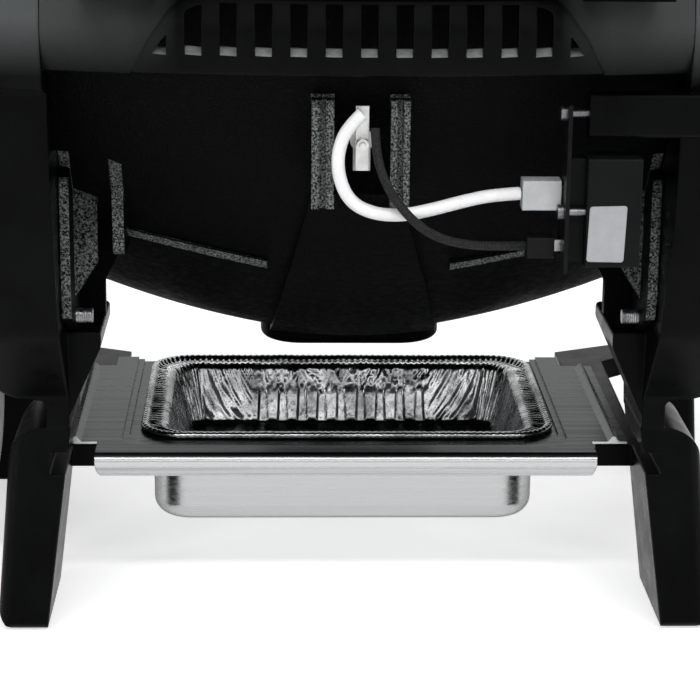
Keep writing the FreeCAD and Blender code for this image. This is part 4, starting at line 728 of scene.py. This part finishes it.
for side, name in ((1, "left_bolt_thread"), (-1, "right_bolt_thread")):
    bolt_thread(name, side * THREAD_TIP_X, side * THREAD_END_X, BOLT_Y, BOLT_Z, BOLT_RADIUS)

KNOB_MARK_X, KNOB_MARK_Z = (0.3212, 0.3228), (0.2255, 0.2385)
KNOB_MARK_CLEARANCE, KNOB_MARK_THICKNESS = 0.0002, 0.0003

lowest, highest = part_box("control_knob")
mark_y = lowest[1] - KNOB_MARK_CLEARANCE
strip(
    "knob_mark",
    [
        (KNOB_MARK_X[0], mark_y, KNOB_MARK_Z[0]),
        (KNOB_MARK_X[1], mark_y, KNOB_MARK_Z[0]),
        (KNOB_MARK_X[1], mark_y, KNOB_MARK_Z[1]),
        (KNOB_MARK_X[0], mark_y, KNOB_MARK_Z[1]),
    ],
    KNOB_MARK_THICKNESS,
    "knob",
    LOOKS["dial_face"],
)


# Studio

FLOOR_HALF, FLOOR_LEVEL = 6, -0.0005
FLOOR_COLOUR, FLOOR_SEEN = 0.84, 0.62
WORLD_LIGHT, WORLD_SEEN = 0.12, 1.0
# Name, place, aim, width and height, and watts
LAMPS = (
    ("top", (0.0, 0.25, 1.8), (0, 0.05, 0.2), (1.6, 1.2), 12),
    ("high_behind", (0.0, 1.65, 1.85), (0, 0.2, 0.27), (2.4, 0.22), 30),
    ("behind_camera", (0.0, 2.6, 1.02), (0, 0.1, 0.25), (3.0, 0.36), 7),
    ("side_right", (1.7, 0.9, 0.6), (0.05, 0.1, 0.22), (0.25, 1.0), 6),
    ("side_left", (-1.7, 0.9, 0.6), (-0.05, 0.1, 0.22), (0.25, 1.0), 6),
    ("front", (0.0, -1.3, 1.7), (0, 0, 0.2), (1.8, 0.8), 12),
)


def background_rays(tree):
    """1 for camera, glossy and transmission rays, which all see the pale background, and 0 for the rest."""
    path = tree.nodes.new("ShaderNodeLightPath")
    total = path.outputs["Is Camera Ray"]
    for ray in ("Is Glossy Ray", "Is Transmission Ray"):
        both = tree.nodes.new("ShaderNodeMath")
        both.operation = "MAXIMUM"
        tree.links.new(total, both.inputs[0])
        tree.links.new(path.outputs[ray], both.inputs[1])
        total = both.outputs[0]
    return total


def studio_floor(name, diffuse, seen):
    """Pale floor that keeps its shadows and looks the same directly and in reflections."""
    material = bpy.data.materials.new(name)
    material.use_nodes = True
    tree = material.node_tree
    tree.nodes.clear()
    output = tree.nodes.new("ShaderNodeOutputMaterial")
    base = tree.nodes.new("ShaderNodeBsdfDiffuse")
    base.inputs["Color"].default_value = (diffuse, diffuse, diffuse, 1)
    glow = tree.nodes.new("ShaderNodeMath")
    glow.operation = "MULTIPLY"
    glow.inputs[1].default_value = seen
    tree.links.new(background_rays(tree), glow.inputs[0])
    light = tree.nodes.new("ShaderNodeEmission")
    tree.links.new(glow.outputs[0], light.inputs["Strength"])
    both = tree.nodes.new("ShaderNodeAddShader")
    tree.links.new(base.outputs[0], both.inputs[0])
    tree.links.new(light.outputs[0], both.inputs[1])
    tree.links.new(both.outputs[0], output.inputs["Surface"])
    return material


mesh = bpy.data.meshes.new("floor")
corners = [(FLOOR_HALF * x, FLOOR_HALF * y, FLOOR_LEVEL) for x, y in ((-1, -1), (1, -1), (1, 1), (-1, 1))]
mesh.from_pydata(corners, [], [(0, 1, 2, 3)])
floor = link(bpy.data.objects.new("floor", mesh))
floor.data.materials.append(studio_floor("pale_floor", FLOOR_COLOUR, FLOOR_SEEN))

world = bpy.data.worlds.new("studio")
scene.world = world
world.use_nodes = True
tree = world.node_tree
tree.nodes.clear()
output = tree.nodes.new("ShaderNodeOutputWorld")
background = tree.nodes.new("ShaderNodeBackground")
background.inputs["Color"].default_value = (1, 1, 1, 1)
strength = tree.nodes.new("ShaderNodeMapRange")
strength.inputs["To Min"].default_value = WORLD_LIGHT
strength.inputs["To Max"].default_value = WORLD_SEEN
tree.links.new(background_rays(tree), strength.inputs["Value"])
tree.links.new(strength.outputs["Result"], background.inputs["Strength"])
tree.links.new(background.outputs[0], output.inputs["Surface"])


def softbox(name, place, target, size, power):
    """A rectangular area lamp that faces a target."""
    data = bpy.data.lights.new(name, "AREA")
    data.shape = "RECTANGLE"
    data.size, data.size_y = size
    data.energy = power
    obj = link(bpy.data.objects.new(name, data))
    obj.location = place
    obj.rotation_mode = "QUATERNION"
    obj.rotation_quaternion = (Vector(target) - Vector(place)).to_track_quat("-Z", "Y")


for lamp in LAMPS:
    softbox(*lamp)

bpy.context.view_layer.update()
